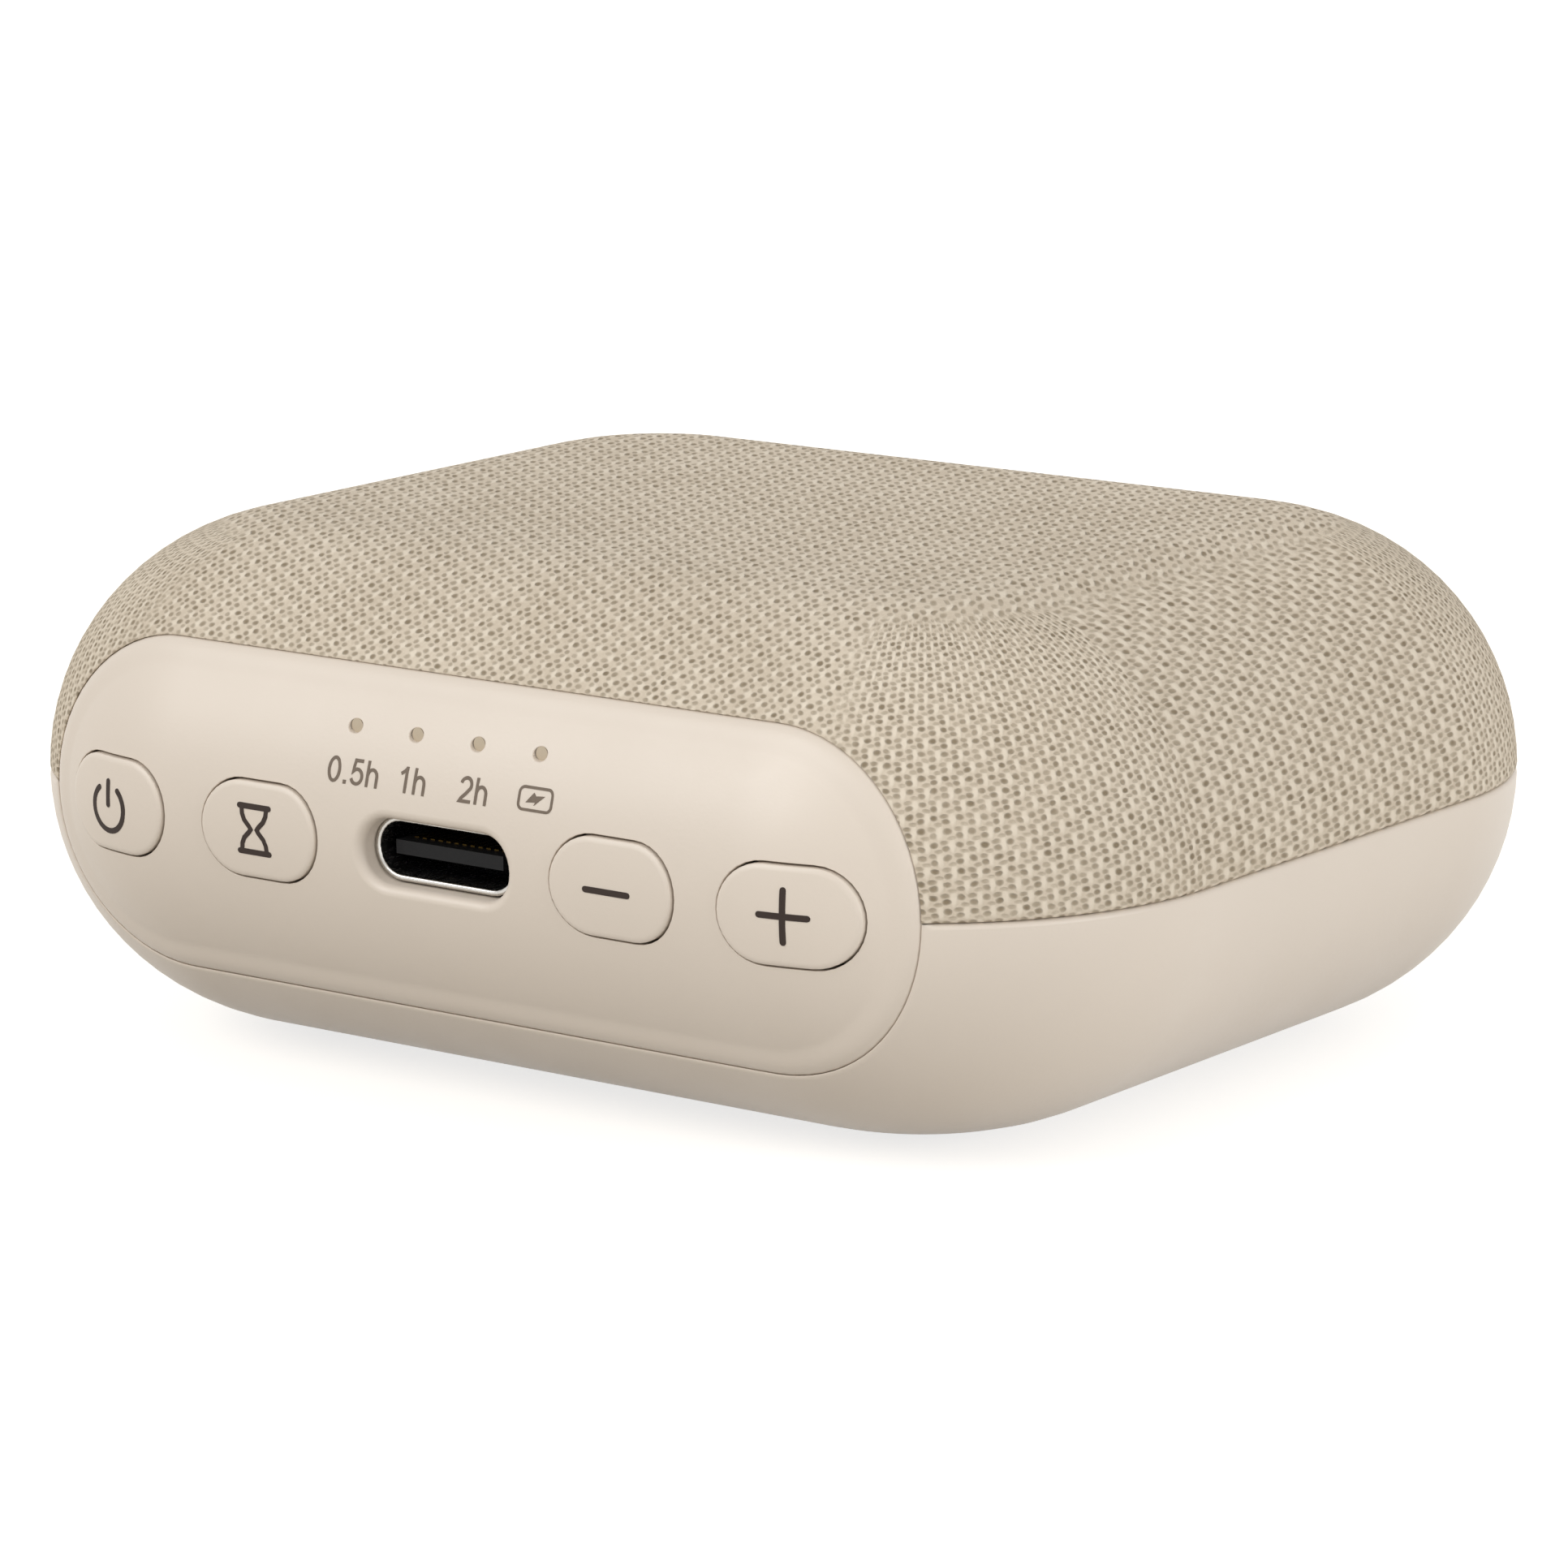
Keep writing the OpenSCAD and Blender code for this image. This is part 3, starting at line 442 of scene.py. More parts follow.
def button_x(name):
    """The place of a button's middle."""
    low, high = box_mm(f"{name}_button")
    return (low.x + high.x) / 2


def panel_lip(build, rim, ring, steps=4):
    """The slope from the panel's raised rim down to its face. Returns the last ring and its plane points."""
    fall = PANEL_SINK - RIM_SINK
    for k in range(1, steps + 1):
        t = k / steps
        inset = RIM_SINK + fall * eased(t, 0, 1)
        slope = 6 * t * (1 - t) * fall / LIP_W
        grow = -PANEL_ROUND - LIP_W * t
        following, points = leaning_ring(build, rim, grow, inset, inset, 1.0, -slope)
        build.bridge(ring, following)
        ring = following
    return ring, points


def button_hole(x):
    return lambda grow: pill_outline(*BUTTON_SIZE, BUTTON_GAP + grow, (x, 0), straight=6, bend=16)


def port_hole(grow):
    return pill_outline(*PORT_SIZE, grow, (0, PORT_Z), straight=12, bend=16)


def lamp_hole(x):
    def outline(grow):
        points, outward = circle_outline(LED_R, grow, (0.0, LED_Z))
        return [(x + across * LED_WIDEN, rise) for across, rise in points], outward
    return outline


def make_panel():
    build = Builder()

    def rim(grow):
        return pill_outline(PANEL_W, PANEL_H, grow, straight=34, bend=30)

    holes = [(button_hole(button_x(name)), HOLE_ROUND) for name in BUTTONS]
    holes.append((port_hole, PORT_ROUND))
    holes += [(lamp_hole((k - 1.5) * LED_PITCH), LED_ROUND) for k in range(4)]

    ring, _, back = rounded_loop(build, rim, 1, PANEL_ROUND, RIM_SINK, PANEL_T, flatness=PANEL_FLATNESS)
    faces = [panel_lip(build, rim, ring)]
    backs = [(back, rim(0.0)[0])]
    for hole, radius in holes:
        ring, points, back = rounded_loop(build, hole, -1, radius, PANEL_SINK, PANEL_T)
        faces.append((ring, points))
        backs.append((back, hole(0.0)[0]))
    front_fill(build, *zip(*faces), PANEL_SINK)
    front_fill(build, *zip(*backs), PANEL_T, back=True, spacing=2.5)
    dress(build, "control_panel", "casing", "front_panel", "shell_plastic")


def make_button(name):
    """A button's cap, with the flange that holds it in and the stem that presses its switch."""
    build = Builder()
    x = button_x(name)

    def rim(grow):
        return pill_outline(*BUTTON_SIZE, grow, (x, 0), straight=8, bend=18)

    def stem(grow):
        return circle_outline(STEM_R, grow, (x, 0))

    flange_front = PANEL_T + FLANGE_GAP
    flange_back = flange_front + FLANGE_T
    ring, points, neck = rounded_loop(build, rim, 1, BUTTON_ROUND, PRINT_T, flange_front, 5, BUTTON_FLATNESS)
    front_fill(build, [ring], [points], PRINT_T, spacing=0.9)
    lip, _ = step_ring(build, rim, FLANGE_W, flange_front)
    build.bridge(lip, neck, flat=True)
    heel, heel_points = step_ring(build, rim, FLANGE_W, flange_back)
    build.bridge(heel, lip, flat=True)
    root, root_points = step_ring(build, stem, 0.0, flange_back)
    front_fill(build, [heel, root], [heel_points, root_points], flange_back, back=True, spacing=1.5)
    tip, tip_points = step_ring(build, stem, 0.0, flange_back, y=box_mm(f"{name}_button")[1].y)
    build.bridge(tip, root)
    build.fill([tip], [tip_points], turn=True, flat=True)
    dress(build, f"{name}_key", f"{name}_button", f"{name}_button", "button_plastic")


# ---------------------------------------------------------------- the two half skins round the body

# Outside the window round the panel the skins are regular; inside it triangles fill them
TURN_STEPS = 24
FLAT_STEP = 1.5
ROW_STEP = 1.15
WINDOW_U = 31.0
WINDOW_ROWS = 10
NEAR_STEPS = 6
PILL_BEND = 20
PILL_STRAIGHT = 34
# Nothing regular is placed nearer the window than the first, or nearer a skin's edge than the second
WINDOW_CLEAR = 0.1
EDGE_CLEAR = 0.35


def columns():
    """All regular places round the body, those outside the window first, from its right side to its left."""
    marks = []
    start = 0.0
    for k, lap in enumerate(LAPS):
        steps = TURN_STEPS if k % 2 else max(round(lap / FLAT_STEP), 1)
        marks += [start + lap * i / steps for i in range(steps)]
        start += lap
    last = ROUND_LENGTH - WINDOW_U
    beyond = [u for u in marks if WINDOW_U + WINDOW_CLEAR < u < last - WINDOW_CLEAR]
    within = [u - ROUND_LENGTH for u in marks if u > last + WINDOW_CLEAR]
    return [WINDOW_U] + beyond + [last], within + [u for u in marks if u < WINDOW_U - WINDOW_CLEAR]


BEYOND, WITHIN = columns()
ROW_COUNT = round(SIDE_R * QUARTER / ROW_STEP)
ROWS = [QUARTER * (k + 1) / ROW_COUNT for k in range(ROW_COUNT)]


def half_pill(grow, sign, seam_rise):
    """The part of the panel's outline below (sign -1) or above (sign 1) the seam, from left to right."""
    r = PANEL_H / 2 + PANEL_GAP + grow
    half = (PANEL_W - PANEL_H) / 2
    first = math.asin(seam_rise / r)
    quarter = []
    for k in range(PILL_BEND):
        angle = first + (QUARTER - first) * k / PILL_BEND
        quarter.append((half + r * math.cos(angle), r * math.sin(angle), math.cos(angle), math.sin(angle)))
    flat = [(half - 2 * half * k / PILL_STRAIGHT, r, 0.0, 1.0) for k in range(PILL_STRAIGHT + 1)]
    left = [(-x, z, -ox, oz) for x, z, ox, oz in quarter[::-1]]
    return [(x, sign * z, ox, sign * oz) for x, z, ox, oz in (quarter + flat + left)[::-1]]


class Edge:
    """One ring along the whole edge of a half skin: the seam from right to left round the back, then the
    panel's outline from left to right. grow is its distance from the edge, inset its depth and turned its
    normal's turn. Along the panel the depth is only the flatness's share."""

    def __init__(self, build, sign, seam_rise, grow, inset, turned=0.0, back=False, flatness=1.0):
        rise = sign * (seam_rise + grow)
        pill = half_pill(grow, sign, seam_rise + grow)
        end = place_round(pill[-1][0], rise, inset)
        near = [end + (WINDOW_U - end) * k / NEAR_STEPS for k in range(1, NEAR_STEPS)]
        seam = near + BEYOND + [ROUND_LENGTH - u for u in near[::-1]]
        side = -1 if back else 1
        places, normals, self.plane = [], [], []
        for u in seam:
            places.append(side_point(u, rise, inset))
            level = side * side_normal(u, rise, inset)
            normals.append(level * math.cos(turned) + Vector((0, 0, -sign)) * math.sin(turned))
            self.plane.append((u - ROUND_LENGTH if u > ROUND_LENGTH / 2 else u, height_up(rise, inset)))
        turned = flatter(turned, flatness)
        for x, z, ox, oz in pill:
            places.append(front_point(x, z, inset * flatness))
            level = side * front_normal(x, z, inset)
            normals.append(level * math.cos(turned) - Vector((ox, 0, oz)) * math.sin(turned))
            self.plane.append((place_round(x, z, inset), height_up(z, inset)))
        self.seam_count = len(seam)
        self.ring = build.ring(places, normals)


def half_skin(build, edge, sign, inset, back=False):
    """The face of a half skin from an edge to the flat. Returns the last ring, at the flat's outline."""
    near = NEAR_STEPS - 1
    side = -1 if back else 1
    turn = (sign > 0) == back
    row = edge.ring[near:near + len(BEYOND)]
    right, left = [], []
    shown = [a for a in ROWS if SIDE_R * a > abs(edge.plane[0][1]) + EDGE_CLEAR]

    def row_points(places, angle):
        rise = sign * (SIDE_R - inset) * math.sin(angle)
        return build.ring([side_point(u, rise, inset) for u in places],
                          [side * side_normal(u, rise, inset) for u in places])

    for angle in shown[:WINDOW_ROWS]:
        following = row_points(BEYOND, angle)
        build.bridge(row, following, closed=False, turn=turn)
        row = following
        right.append((row[0], (WINDOW_U, sign * SIDE_R * angle)))
        left.append((row[-1], (-WINDOW_U, sign * SIDE_R * angle)))
    top_w = sign * SIDE_R * shown[WINDOW_ROWS - 1]
    middle = row_points(WITHIN, shown[WINDOW_ROWS - 1])
    cells = list(zip(edge.ring, edge.plane))
    border = [cells[near]] + cells[:near][::-1] + cells[edge.seam_count:][::-1]
    border += cells[edge.seam_count - near:edge.seam_count][::-1] + [cells[edge.seam_count - near - 1]]
    border += left + [(k, (u, top_w)) for k, u in zip(middle, WITHIN)] + right[::-1]

    def put(p):
        rise = (SIDE_R - inset) * math.sin(p.y / SIDE_R)
        return build.add(side_point(p.x, rise, inset), side * side_normal(p.x, rise, inset))

    loop, flat = zip(*border)
    build.fill([loop], [flat], put, ROW_STEP, turn=back)
    row = row + middle
    for angle in shown[WINDOW_ROWS:]:
        following = row_points(BEYOND + WITHIN, angle)
        build.bridge(row, following, turn=turn)
        row = following
    return row


def half_shell(build, sign, seam_rise, radius, wall):
    """Both faces of a half skin and its rounded edge. Returns the rings round its outer and inner flats."""
    edges = [Edge(build, sign, seam_rise, distance, depth, turned, flatness=RIM_FLATNESS)
             for distance, depth, turned in fillet(radius)]
    edges.append(Edge(build, sign, seam_rise, 0.0, wall, back=True))
    for near, far in zip(edges, edges[1:]):
        build.bridge(near.ring, far.ring, turn=sign > 0)
    return half_skin(build, edges[0], sign, 0.0), half_skin(build, edges[-1], sign, wall, back=True)


def flat_fill(build, loops, z, down, spacing=2.4):
    """A level face between closed loops, facing down or up."""
    flats = [[(build.points[k].x, build.points[k].y) for k in loop] for loop in loops]
    normal = Vector((0, 0, -1 if down else 1))
    build.fill(loops, flats, lambda p: build.add((p.x, p.y, z), normal), spacing, clear=0.4, turn=down)


def lathe(build, centre, profile, inwards=False, steps=40):
    """Rings about a vertical axis through (radius, z) places. The profile has the solid on its left, or on
    its right where the surface faces inwards."""
    rings = []
    for radius, z in profile:
        outline, _ = circle_outline(radius, 0.0, centre, steps)
        rings.append(build.ring([(x, y, z) for x, y in outline]))
    for first, second in zip(rings, rings[1:]):
        build.bridge(first, second, turn=inwards)
    return rings


def make_cloth():
    build = Builder()
    top, ceiling = half_shell(build, 1, SEAM_GAP, HEM_ROUND, CLOTH_T)
    flat_fill(build, [top], MID_Z + SIDE_R, down=False, spacing=1.6)
    flat_fill(build, [ceiling], MID_Z + SIDE_R - CLOTH_T, down=True, spacing=3.0)
    piece = dress(build, "speaker_grille_cloth", "casing", "grille_cloth", "speaker_cloth")
    add_weave(piece)


FOOT_LOW, FOOT_HIGH = box_mm("foot_front_right")
FOOT_R = (FOOT_HIGH.x - FOOT_LOW.x) / 2
FOOT_TOP = FOOT_HIGH.z
FOOT_X = (FOOT_LOW.x + FOOT_HIGH.x) / 2
FOOT_Y = (FOOT_LOW.y + FOOT_HIGH.y) / 2
FEET = {f"{end}_{side}": (FOOT_X * across, FOOT_Y * along)
        for end, along in (("front", 1), ("back", -1)) for side, across in (("left", -1), ("right", 1))}
FOOT_ROUND = 0.35
FOOT_BEVEL = 0.1
FOOT_CORE_R = 1.0
# The (radius, z) places of the ring pressed into a foot's sole
SOLE = [(0.6, 0.05), (1.5, 0.05), (1.7, 0.0)]
POCKET_R = 3.1
HEAD_HOLE_R = 1.95
HEAD_SEAT = 3.0
SHANK_HOLE_R = 1.15
BOSS_R = 2.4
TRAY_GAP = 0.3
TRAY_T = 1.0
TRAY_L = 16.0
TRAY_H = 3.0
POST_W = 2.0
POST_GAP = 0.6
POST_PAST = 0.4
POST_LIFT = 0.2
# How far the ledge behind the panel starts in front of the shell's inner surface, and past the opening's edge
LEDGE_ROOT = 0.3
LEDGE_PAST = 0.1


def make_base():
    """The lower shell with its screw bosses, its battery tray and the ledge behind the panel."""
    build = Builder()
    underside, floor = half_shell(build, -1, 0.0, SEAM_ROUND, WALL)
    bottom_z, floor_z = SHELL_LOW.z, MID_Z - SIDE_R + WALL
    boss_top = box_mm("main_board")[0].z
    pockets, bosses = [], []
    profile = [(POCKET_R, bottom_z), (POCKET_R, FOOT_TOP), (HEAD_HOLE_R, FOOT_TOP), (HEAD_HOLE_R, HEAD_SEAT),
               (SHANK_HOLE_R, HEAD_SEAT), (SHANK_HOLE_R, boss_top), (BOSS_R, boss_top), (BOSS_R, floor_z)]
    for centre in FEET.values():
        rings = lathe(build, centre, profile, inwards=True)
        pockets.append(rings[0])
        bosses.append(rings[-1])
    ribs = []
    battery = box_mm("battery_cell")[1]
    post_end = box_mm("light_guide")[1].x + POST_PAST
    post_back = -battery.y - POST_GAP
    for side in (-1, 1):
        x = side * (battery.x + TRAY_GAP + TRAY_T / 2)
        plan = [(x - TRAY_T / 2, -TRAY_L / 2), (x + TRAY_T / 2, -TRAY_L / 2),
                (x + TRAY_T / 2, TRAY_L / 2), (x - TRAY_T / 2, TRAY_L / 2)]
        foot = build.ring([(*p, floor_z) for p in plan])
        top = build.ring([(*p, floor_z + TRAY_H) for p in plan])
        build.bridge(foot, top, flat=True)
        build.face(top, flat=True)
        ribs.append(foot)
        left, right = sorted((side * (post_end - POST_W), side * post_end))
        bar(build, (left, post_back - POST_W, floor_z + POST_LIFT), (right, post_back, boss_top))
    flat_fill(build, [underside] + pockets, bottom_z, down=True)
    flat_fill(build, [floor] + bosses + ribs, floor_z, down=False)

    front, back = PANEL_T + PANEL_GAP, PANEL_T + PANEL_GAP + LEDGE_T
    root, tip = WALL - LEDGE_ROOT, -LEDGE_W - PANEL_GAP
    ledge = [(tip, front), (LEDGE_PAST, front), (LEDGE_PAST, root), (LEDGE_W, root)]
    ledge += [(LEDGE_W, back), (tip, back)]
    rows = [build.ring([front_point(x, z, inset) for x, z, _, _ in half_pill(grow, -1, 0.0)])
            for grow, inset in ledge]
    for k, row in enumerate(rows):
        build.bridge(rows[(k + 1) % len(rows)], row, closed=False, flat=True)
    build.face([row[0] for row in rows[::-1]], flat=True)
    build.face([row[-1] for row in rows], flat=True)
    dress(build, "base_shell", "casing", "bottom_shell", "shell_plastic")


# ---------------------------------------------------------------- feet and charging socket

def make_foot(name, centre):
    """A rubber foot: rounded lower edge and a shallow ring pressed into its sole."""
    build = Builder()
    edge = [(FOOT_R - distance, depth) for distance, depth, _ in fillet(FOOT_ROUND, 5)]
    profile = SOLE + edge + [(FOOT_R, FOOT_TOP - FOOT_BEVEL), (FOOT_R - FOOT_BEVEL, FOOT_TOP)]
    profile.append((FOOT_CORE_R, FOOT_TOP))
    rings = lathe(build, centre, profile)
    build.face(rings[0][::-1])
    build.face(rings[-1])
    dress(build, f"rubber_foot_{name}", "casing", f"foot_{name}", "foot_rubber", smooth_angle=40)


USB_WALL = 0.3
USB_ROUND = 0.12
USB_SUNK = 0.3
USB_LEG = (0.35, 1.1)
USB_LEG_FROM_BACK = (1.6, 5.0)
LEG_INTO_WALL = 0.7


def make_socket():
    """The drawn metal shell of the charging socket, with a rolled mouth and four legs."""
    build = Builder()
    low, high = box_mm("usb_shell")
    length = high.x - low.x
    board_top = box_mm("main_board")[1].z
    height = 2 * (MID_Z - board_top)
    back_y, mouth_y = high.y, low.y + USB_SUNK
    roll = [(distance, depth) for distance, depth, _ in fillet(USB_ROUND)]
    levels = [(0.0, back_y)]
    levels += [(-depth, mouth_y + distance) for distance, depth in roll]
    levels += [(distance - USB_WALL, mouth_y + depth) for distance, depth in roll]
    levels.append((-USB_WALL, back_y - USB_WALL))
    rings = []
    for grow, y in levels:
        points, _ = pill_outline(length, height, grow)
        rings.append(build.ring([(x, y, MID_Z + z) for x, z in points]))
    for first, second in zip(rings, rings[1:]):
        build.bridge(first, second)
    build.face(rings[0][::-1], flat=True)
    build.face(rings[-1], flat=True)
    leg_top = board_top + USB_WALL * LEG_INTO_WALL
    for side in (-1, 1):
        for from_back in USB_LEG_FROM_BACK:
            x, y = side * (length - height) / 2, back_y - from_back
            bar(build, (x - USB_LEG[0] / 2, y - USB_LEG[1] / 2, low.z),
                (x + USB_LEG[0] / 2, y + USB_LEG[1] / 2, leg_top))
    dress(build, "charging_socket", "casing", "usb_shell", "port_metal", smooth_angle=40)


# ---------------------------------------------------------------- the weave's own coordinates

# Two weaves share the cloth. The sheet's covers the top and the front, with rows along X. The side's follows
# the seam round the corners and other sides. Both widen towards the top, where the cloth is stretched.
SHEET_PERIOD = 1.75
SHEET_ROW = 0.46
TOP_ROW = 1.2
TOP_LEAN = 0.55
STRETCH_FROM = SIDE_R * math.radians(48)
STRETCH_TO = SIDE_R * QUARTER
SIDE_PERIOD = 1.9
SIDE_ROW = 0.62
CORNER_SQUEEZE = 1.55
FLAT_TOTAL = 4 * (CORNER_X + CORNER_Y)
WHOLE_TURNS = round((FLAT_TOTAL + 4 * ARC * CORNER_SQUEEZE) / SIDE_PERIOD)
SQUEEZE = (WHOLE_TURNS * SIDE_PERIOD - FLAT_TOTAL) / (4 * ARC)
# Where the sheet's weave takes over from the side's, going up and going round to the front
TAKES_LIFT = (math.radians(68), math.radians(75))
TAKES_TURN = (math.radians(22), math.radians(14))


def stretched(w, row):
    """How many of a weave's rows lie between the seam and a w on the cloth, and how far a column leans."""
    t = max(0.0, min(w - STRETCH_FROM, STRETCH_TO - STRETCH_FROM))
    beyond = max(w - STRETCH_TO, 0.0)
    half = t * t / (2 * (STRETCH_TO - STRETCH_FROM))
    rows = min(w, STRETCH_TO) / row - half * (1 / row - 1 / TOP_ROW) + beyond / TOP_ROW
    return rows, TOP_LEAN * (half + beyond)


def weave_places(point):
    """Where a point of the cloth lies in the side's weave and in the sheet's, in periods along the rows and
    pairs of rows across, and the sheet's share there."""
    core = Vector((max(-CORNER_X, min(CORNER_X, point.x)), max(-CORNER_Y, min(CORNER_Y, point.y))))
    out = Vector((point.x, point.y)) - core
    if out.length < RUN:
        lift = QUARTER
        sheet = Vector((point.x, point.y))
    else:
        lift = math.atan2(point.z - MID_Z, out.length - RUN)
        sheet = core + out.normalized() * (RUN + SIDE_R * (QUARTER - lift))
    turned = math.atan2(out.x, -out.y) if out.length > 1e-6 and abs(point.x) > CORNER_X else 0.0
    if abs(point.x) <= CORNER_X and out.y > 0:
        turned = math.copysign(math.pi, point.x)
    sector = abs(turned) / QUARTER
    along = CORNER_X if sector > 0 else abs(core.x)
    along += ARC * SQUEEZE * min(sector, 1.0)
    if sector >= 1:
        along += core.y + CORNER_Y
    if sector > 1:
        along += ARC * SQUEEZE * (sector - 1)
    if sector >= 2:
        along += CORNER_X - abs(core.x)
    along = math.copysign(along, point.x)
    share = max(eased(lift, *TAKES_LIFT), 1 - eased(abs(turned), *TAKES_TURN[::-1]))
    rows, lean = stretched(sheet.y + CORNER_Y + RUN + SIDE_R * QUARTER, SHEET_ROW)
    side = (along / SIDE_PERIOD, stretched(SIDE_R * lift, SIDE_ROW)[0] / 2, share)
    return side, ((sheet.x + lean) / SHEET_PERIOD, rows / 2, 0.0)


def add_weave(piece):
    """Stores the weave's places by face corner, so that no face reaches across the cut at the back."""
    mesh = piece.data
    round_side = mesh.attributes.new("weave_side", "FLOAT_VECTOR", "CORNER")
    on_sheet = mesh.attributes.new("weave_sheet", "FLOAT_VECTOR", "CORNER")
    places = [weave_places(v.co / MM) for v in mesh.vertices]
    for polygon in mesh.polygons:
        first = None
        for k in polygon.loop_indices:
            (s, t, share), sheet = places[mesh.loops[k].vertex_index]
            first = s if first is None else first
            s -= WHOLE_TURNS * round((s - first) / WHOLE_TURNS)
            round_side.data[k].vector = (s, t, share)
            on_sheet.data[k].vector = sheet


# ---------------------------------------------------------------- printed symbols

INK_STEP = 0.2
LONGEST_MITRE = 2
SMALLEST_QUAD = 1e-6
PRINT_WELD = 1e-4


def round_end(centre, radius, strips=4):
    """The quads of a small disc."""
    corners = []
    for k in range(strips + 1):
        angle = math.pi * (k + 0.5) / (strips + 1)
        corners.append((radius * math.cos(angle), radius * math.sin(angle)))
    return [[centre + Vector(p) for p in ((xb, -zb), (xa, -za), (xa, za), (xb, zb))]
            for (xa, za), (xb, zb) in zip(corners, corners[1:])]


def stroke(points, width, closed=False, rounded=False):
    """The quads of a line of even width through plane points, with mitred corners."""
    places = []
    count = len(points)
    for k in range(count if closed else count - 1):
        a, b = Vector(points[k]), Vector(points[(k + 1) % count])
        steps = max(int((b - a).length / INK_STEP + 0.5), 1)
        places += [a.lerp(b, i / steps) for i in range(steps)]
    if not closed:
        places.append(Vector(points[-1]))
    quads = round_end(places[0], width / 2) + round_end(places[-1], width / 2) if rounded else []
    spans = [(b - a).normalized() for a, b in zip(places, places[1:] + places[:1])]
    n = len(places)
    sides = []
    for k, p in enumerate(places):
        headings = [spans[k - 1], spans[k]]
        if not closed and k in (0, n - 1):
            headings = [spans[min(k, n - 2)]]
        lean = sum(headings, Vector((0, 0))).normalized()
        stretch = 1 / max(lean.dot(headings[0]), 1 / LONGEST_MITRE)
        normal = Vector((-lean.y, lean.x)) * (width / 2 * stretch)
        sides.append((p + normal, p - normal))
    for k in range(n if closed else n - 1):
        a, b = sides[k], sides[(k + 1) % n]
        quads.append([a[1], b[1], b[0], a[0]])
    return quads


def arc(centre, radii, start, end, steps=16):
    """Plane points along part of an ellipse, angles in degrees."""
    turns = [math.radians(start + (end - start) * k / steps) for k in range(steps + 1)]
    return [(centre[0] + radii[0] * math.cos(a), centre[1] + radii[1] * math.sin(a)) for a in turns]


def area_of(quad):
    """The area of a plane quad."""
    return abs((quad[2] - quad[0]).cross(quad[3] - quad[1])) / 2


def moved(quads, dx, dz, size=1.0):
    """The quads scaled about the origin and then moved."""
    return [[Vector((p[0] * size + dx, p[1] * size + dz)) for p in quad] for quad in quads]


def make_print(name, quads, body, material, inset=0.0):
    """A thin printed layer at an inset from the front: the union of the quads, sunk in the plastic."""
    quads = [quad for quad in quads if area_of(quad) > SMALLEST_QUAD]
    coords = [p for quad in quads for p in quad]
    faces = [list(range(4 * k, 4 * k + 4)) for k in range(len(quads))]
    out = delaunay_2d_cdt(coords, [], faces, 1, PRINT_WELD)
    points = out[0]
    triangles = [face for face, sources in zip(out[2], out[5]) if sources]
    build = Builder()
    top = build.ring([front_point(p.x, p.y, inset) for p in points], [front_normal(p.x, p.y) for p in points])
    low = build.ring([front_point(p.x, p.y, inset + PRINT_SUNK) for p in points])
    used = set()
    for a, b, c in triangles:
        if (points[b] - points[a]).cross(points[c] - points[a]) < 0:
            a, c = c, a
        build.face([top[a], top[b], top[c]])
        build.face([low[c], low[b], low[a]], flat=True)
        used |= {(a, b), (b, c), (c, a)}
    for a, b in sorted(used):
        if (b, a) not in used:
            build.face([low[a], low[b], top[b], top[a]], flat=True)
    piece = build.make(name)
    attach(piece, body)
    give(piece, material)


SYMBOL_LINE = 0.29
SIGN_LINE = 0.31
GLASS_LINE = 0.25
BATTERY_LINE = 0.13
LABEL_LINE = 0.16
POINT_LINE = 0.15
CAP_HEIGHT = 1.25
LABEL_Z = 3.0
DIGIT_ADVANCE = 0.777
POINT_ADVANCE = 0.388
LABEL_CENTRES = {"0.5h": -5.25, "1h": -1.55, "2h": 2.3}
POWER_X = -21.22
HOURGLASS_X = -11.19
HOURGLASS_Z = 0.07
MINUS_X = 10.85
MINUS_Z = -0.1
PLUS_X = 20.98
PLUS_Z = 0.05


def power_symbol():
    ring = stroke(arc((POWER_X, -0.15), (1.2, 1.2), 128, 412, 30), SYMBOL_LINE, rounded=True)
    return ring + stroke([(POWER_X, 0.0), (POWER_X, 1.2)], SYMBOL_LINE, rounded=True)


def hourglass_symbol():
    glass = []
    half = [(0.8, 1.1), (0.76, 0.75), (0.62, 0.45), (0.3, 0.14)]
    half += [(0.2, 0.0)] + [(x, -z) for x, z in half[::-1]]
    for side in (-1, 1):
        glass += stroke([(side * x, z) for x, z in half], GLASS_LINE)
    for z in (-1.15, 1.15):
        glass += stroke([(-0.95, z), (0.95, z)], SYMBOL_LINE, rounded=True)
    return moved(glass, HOURGLASS_X, HOURGLASS_Z)


def minus_symbol():
    return stroke([(MINUS_X - 1.27, MINUS_Z), (MINUS_X + 1.27, MINUS_Z)], SIGN_LINE, rounded=True)


def plus_symbol():
    level = stroke([(-1.22, 0.0), (1.22, 0.0)], SIGN_LINE, rounded=True)
    upright = stroke([(0.0, -1.25), (0.0, 1.25)], SIGN_LINE, rounded=True)
    return moved(level + upright, PLUS_X, PLUS_Z)


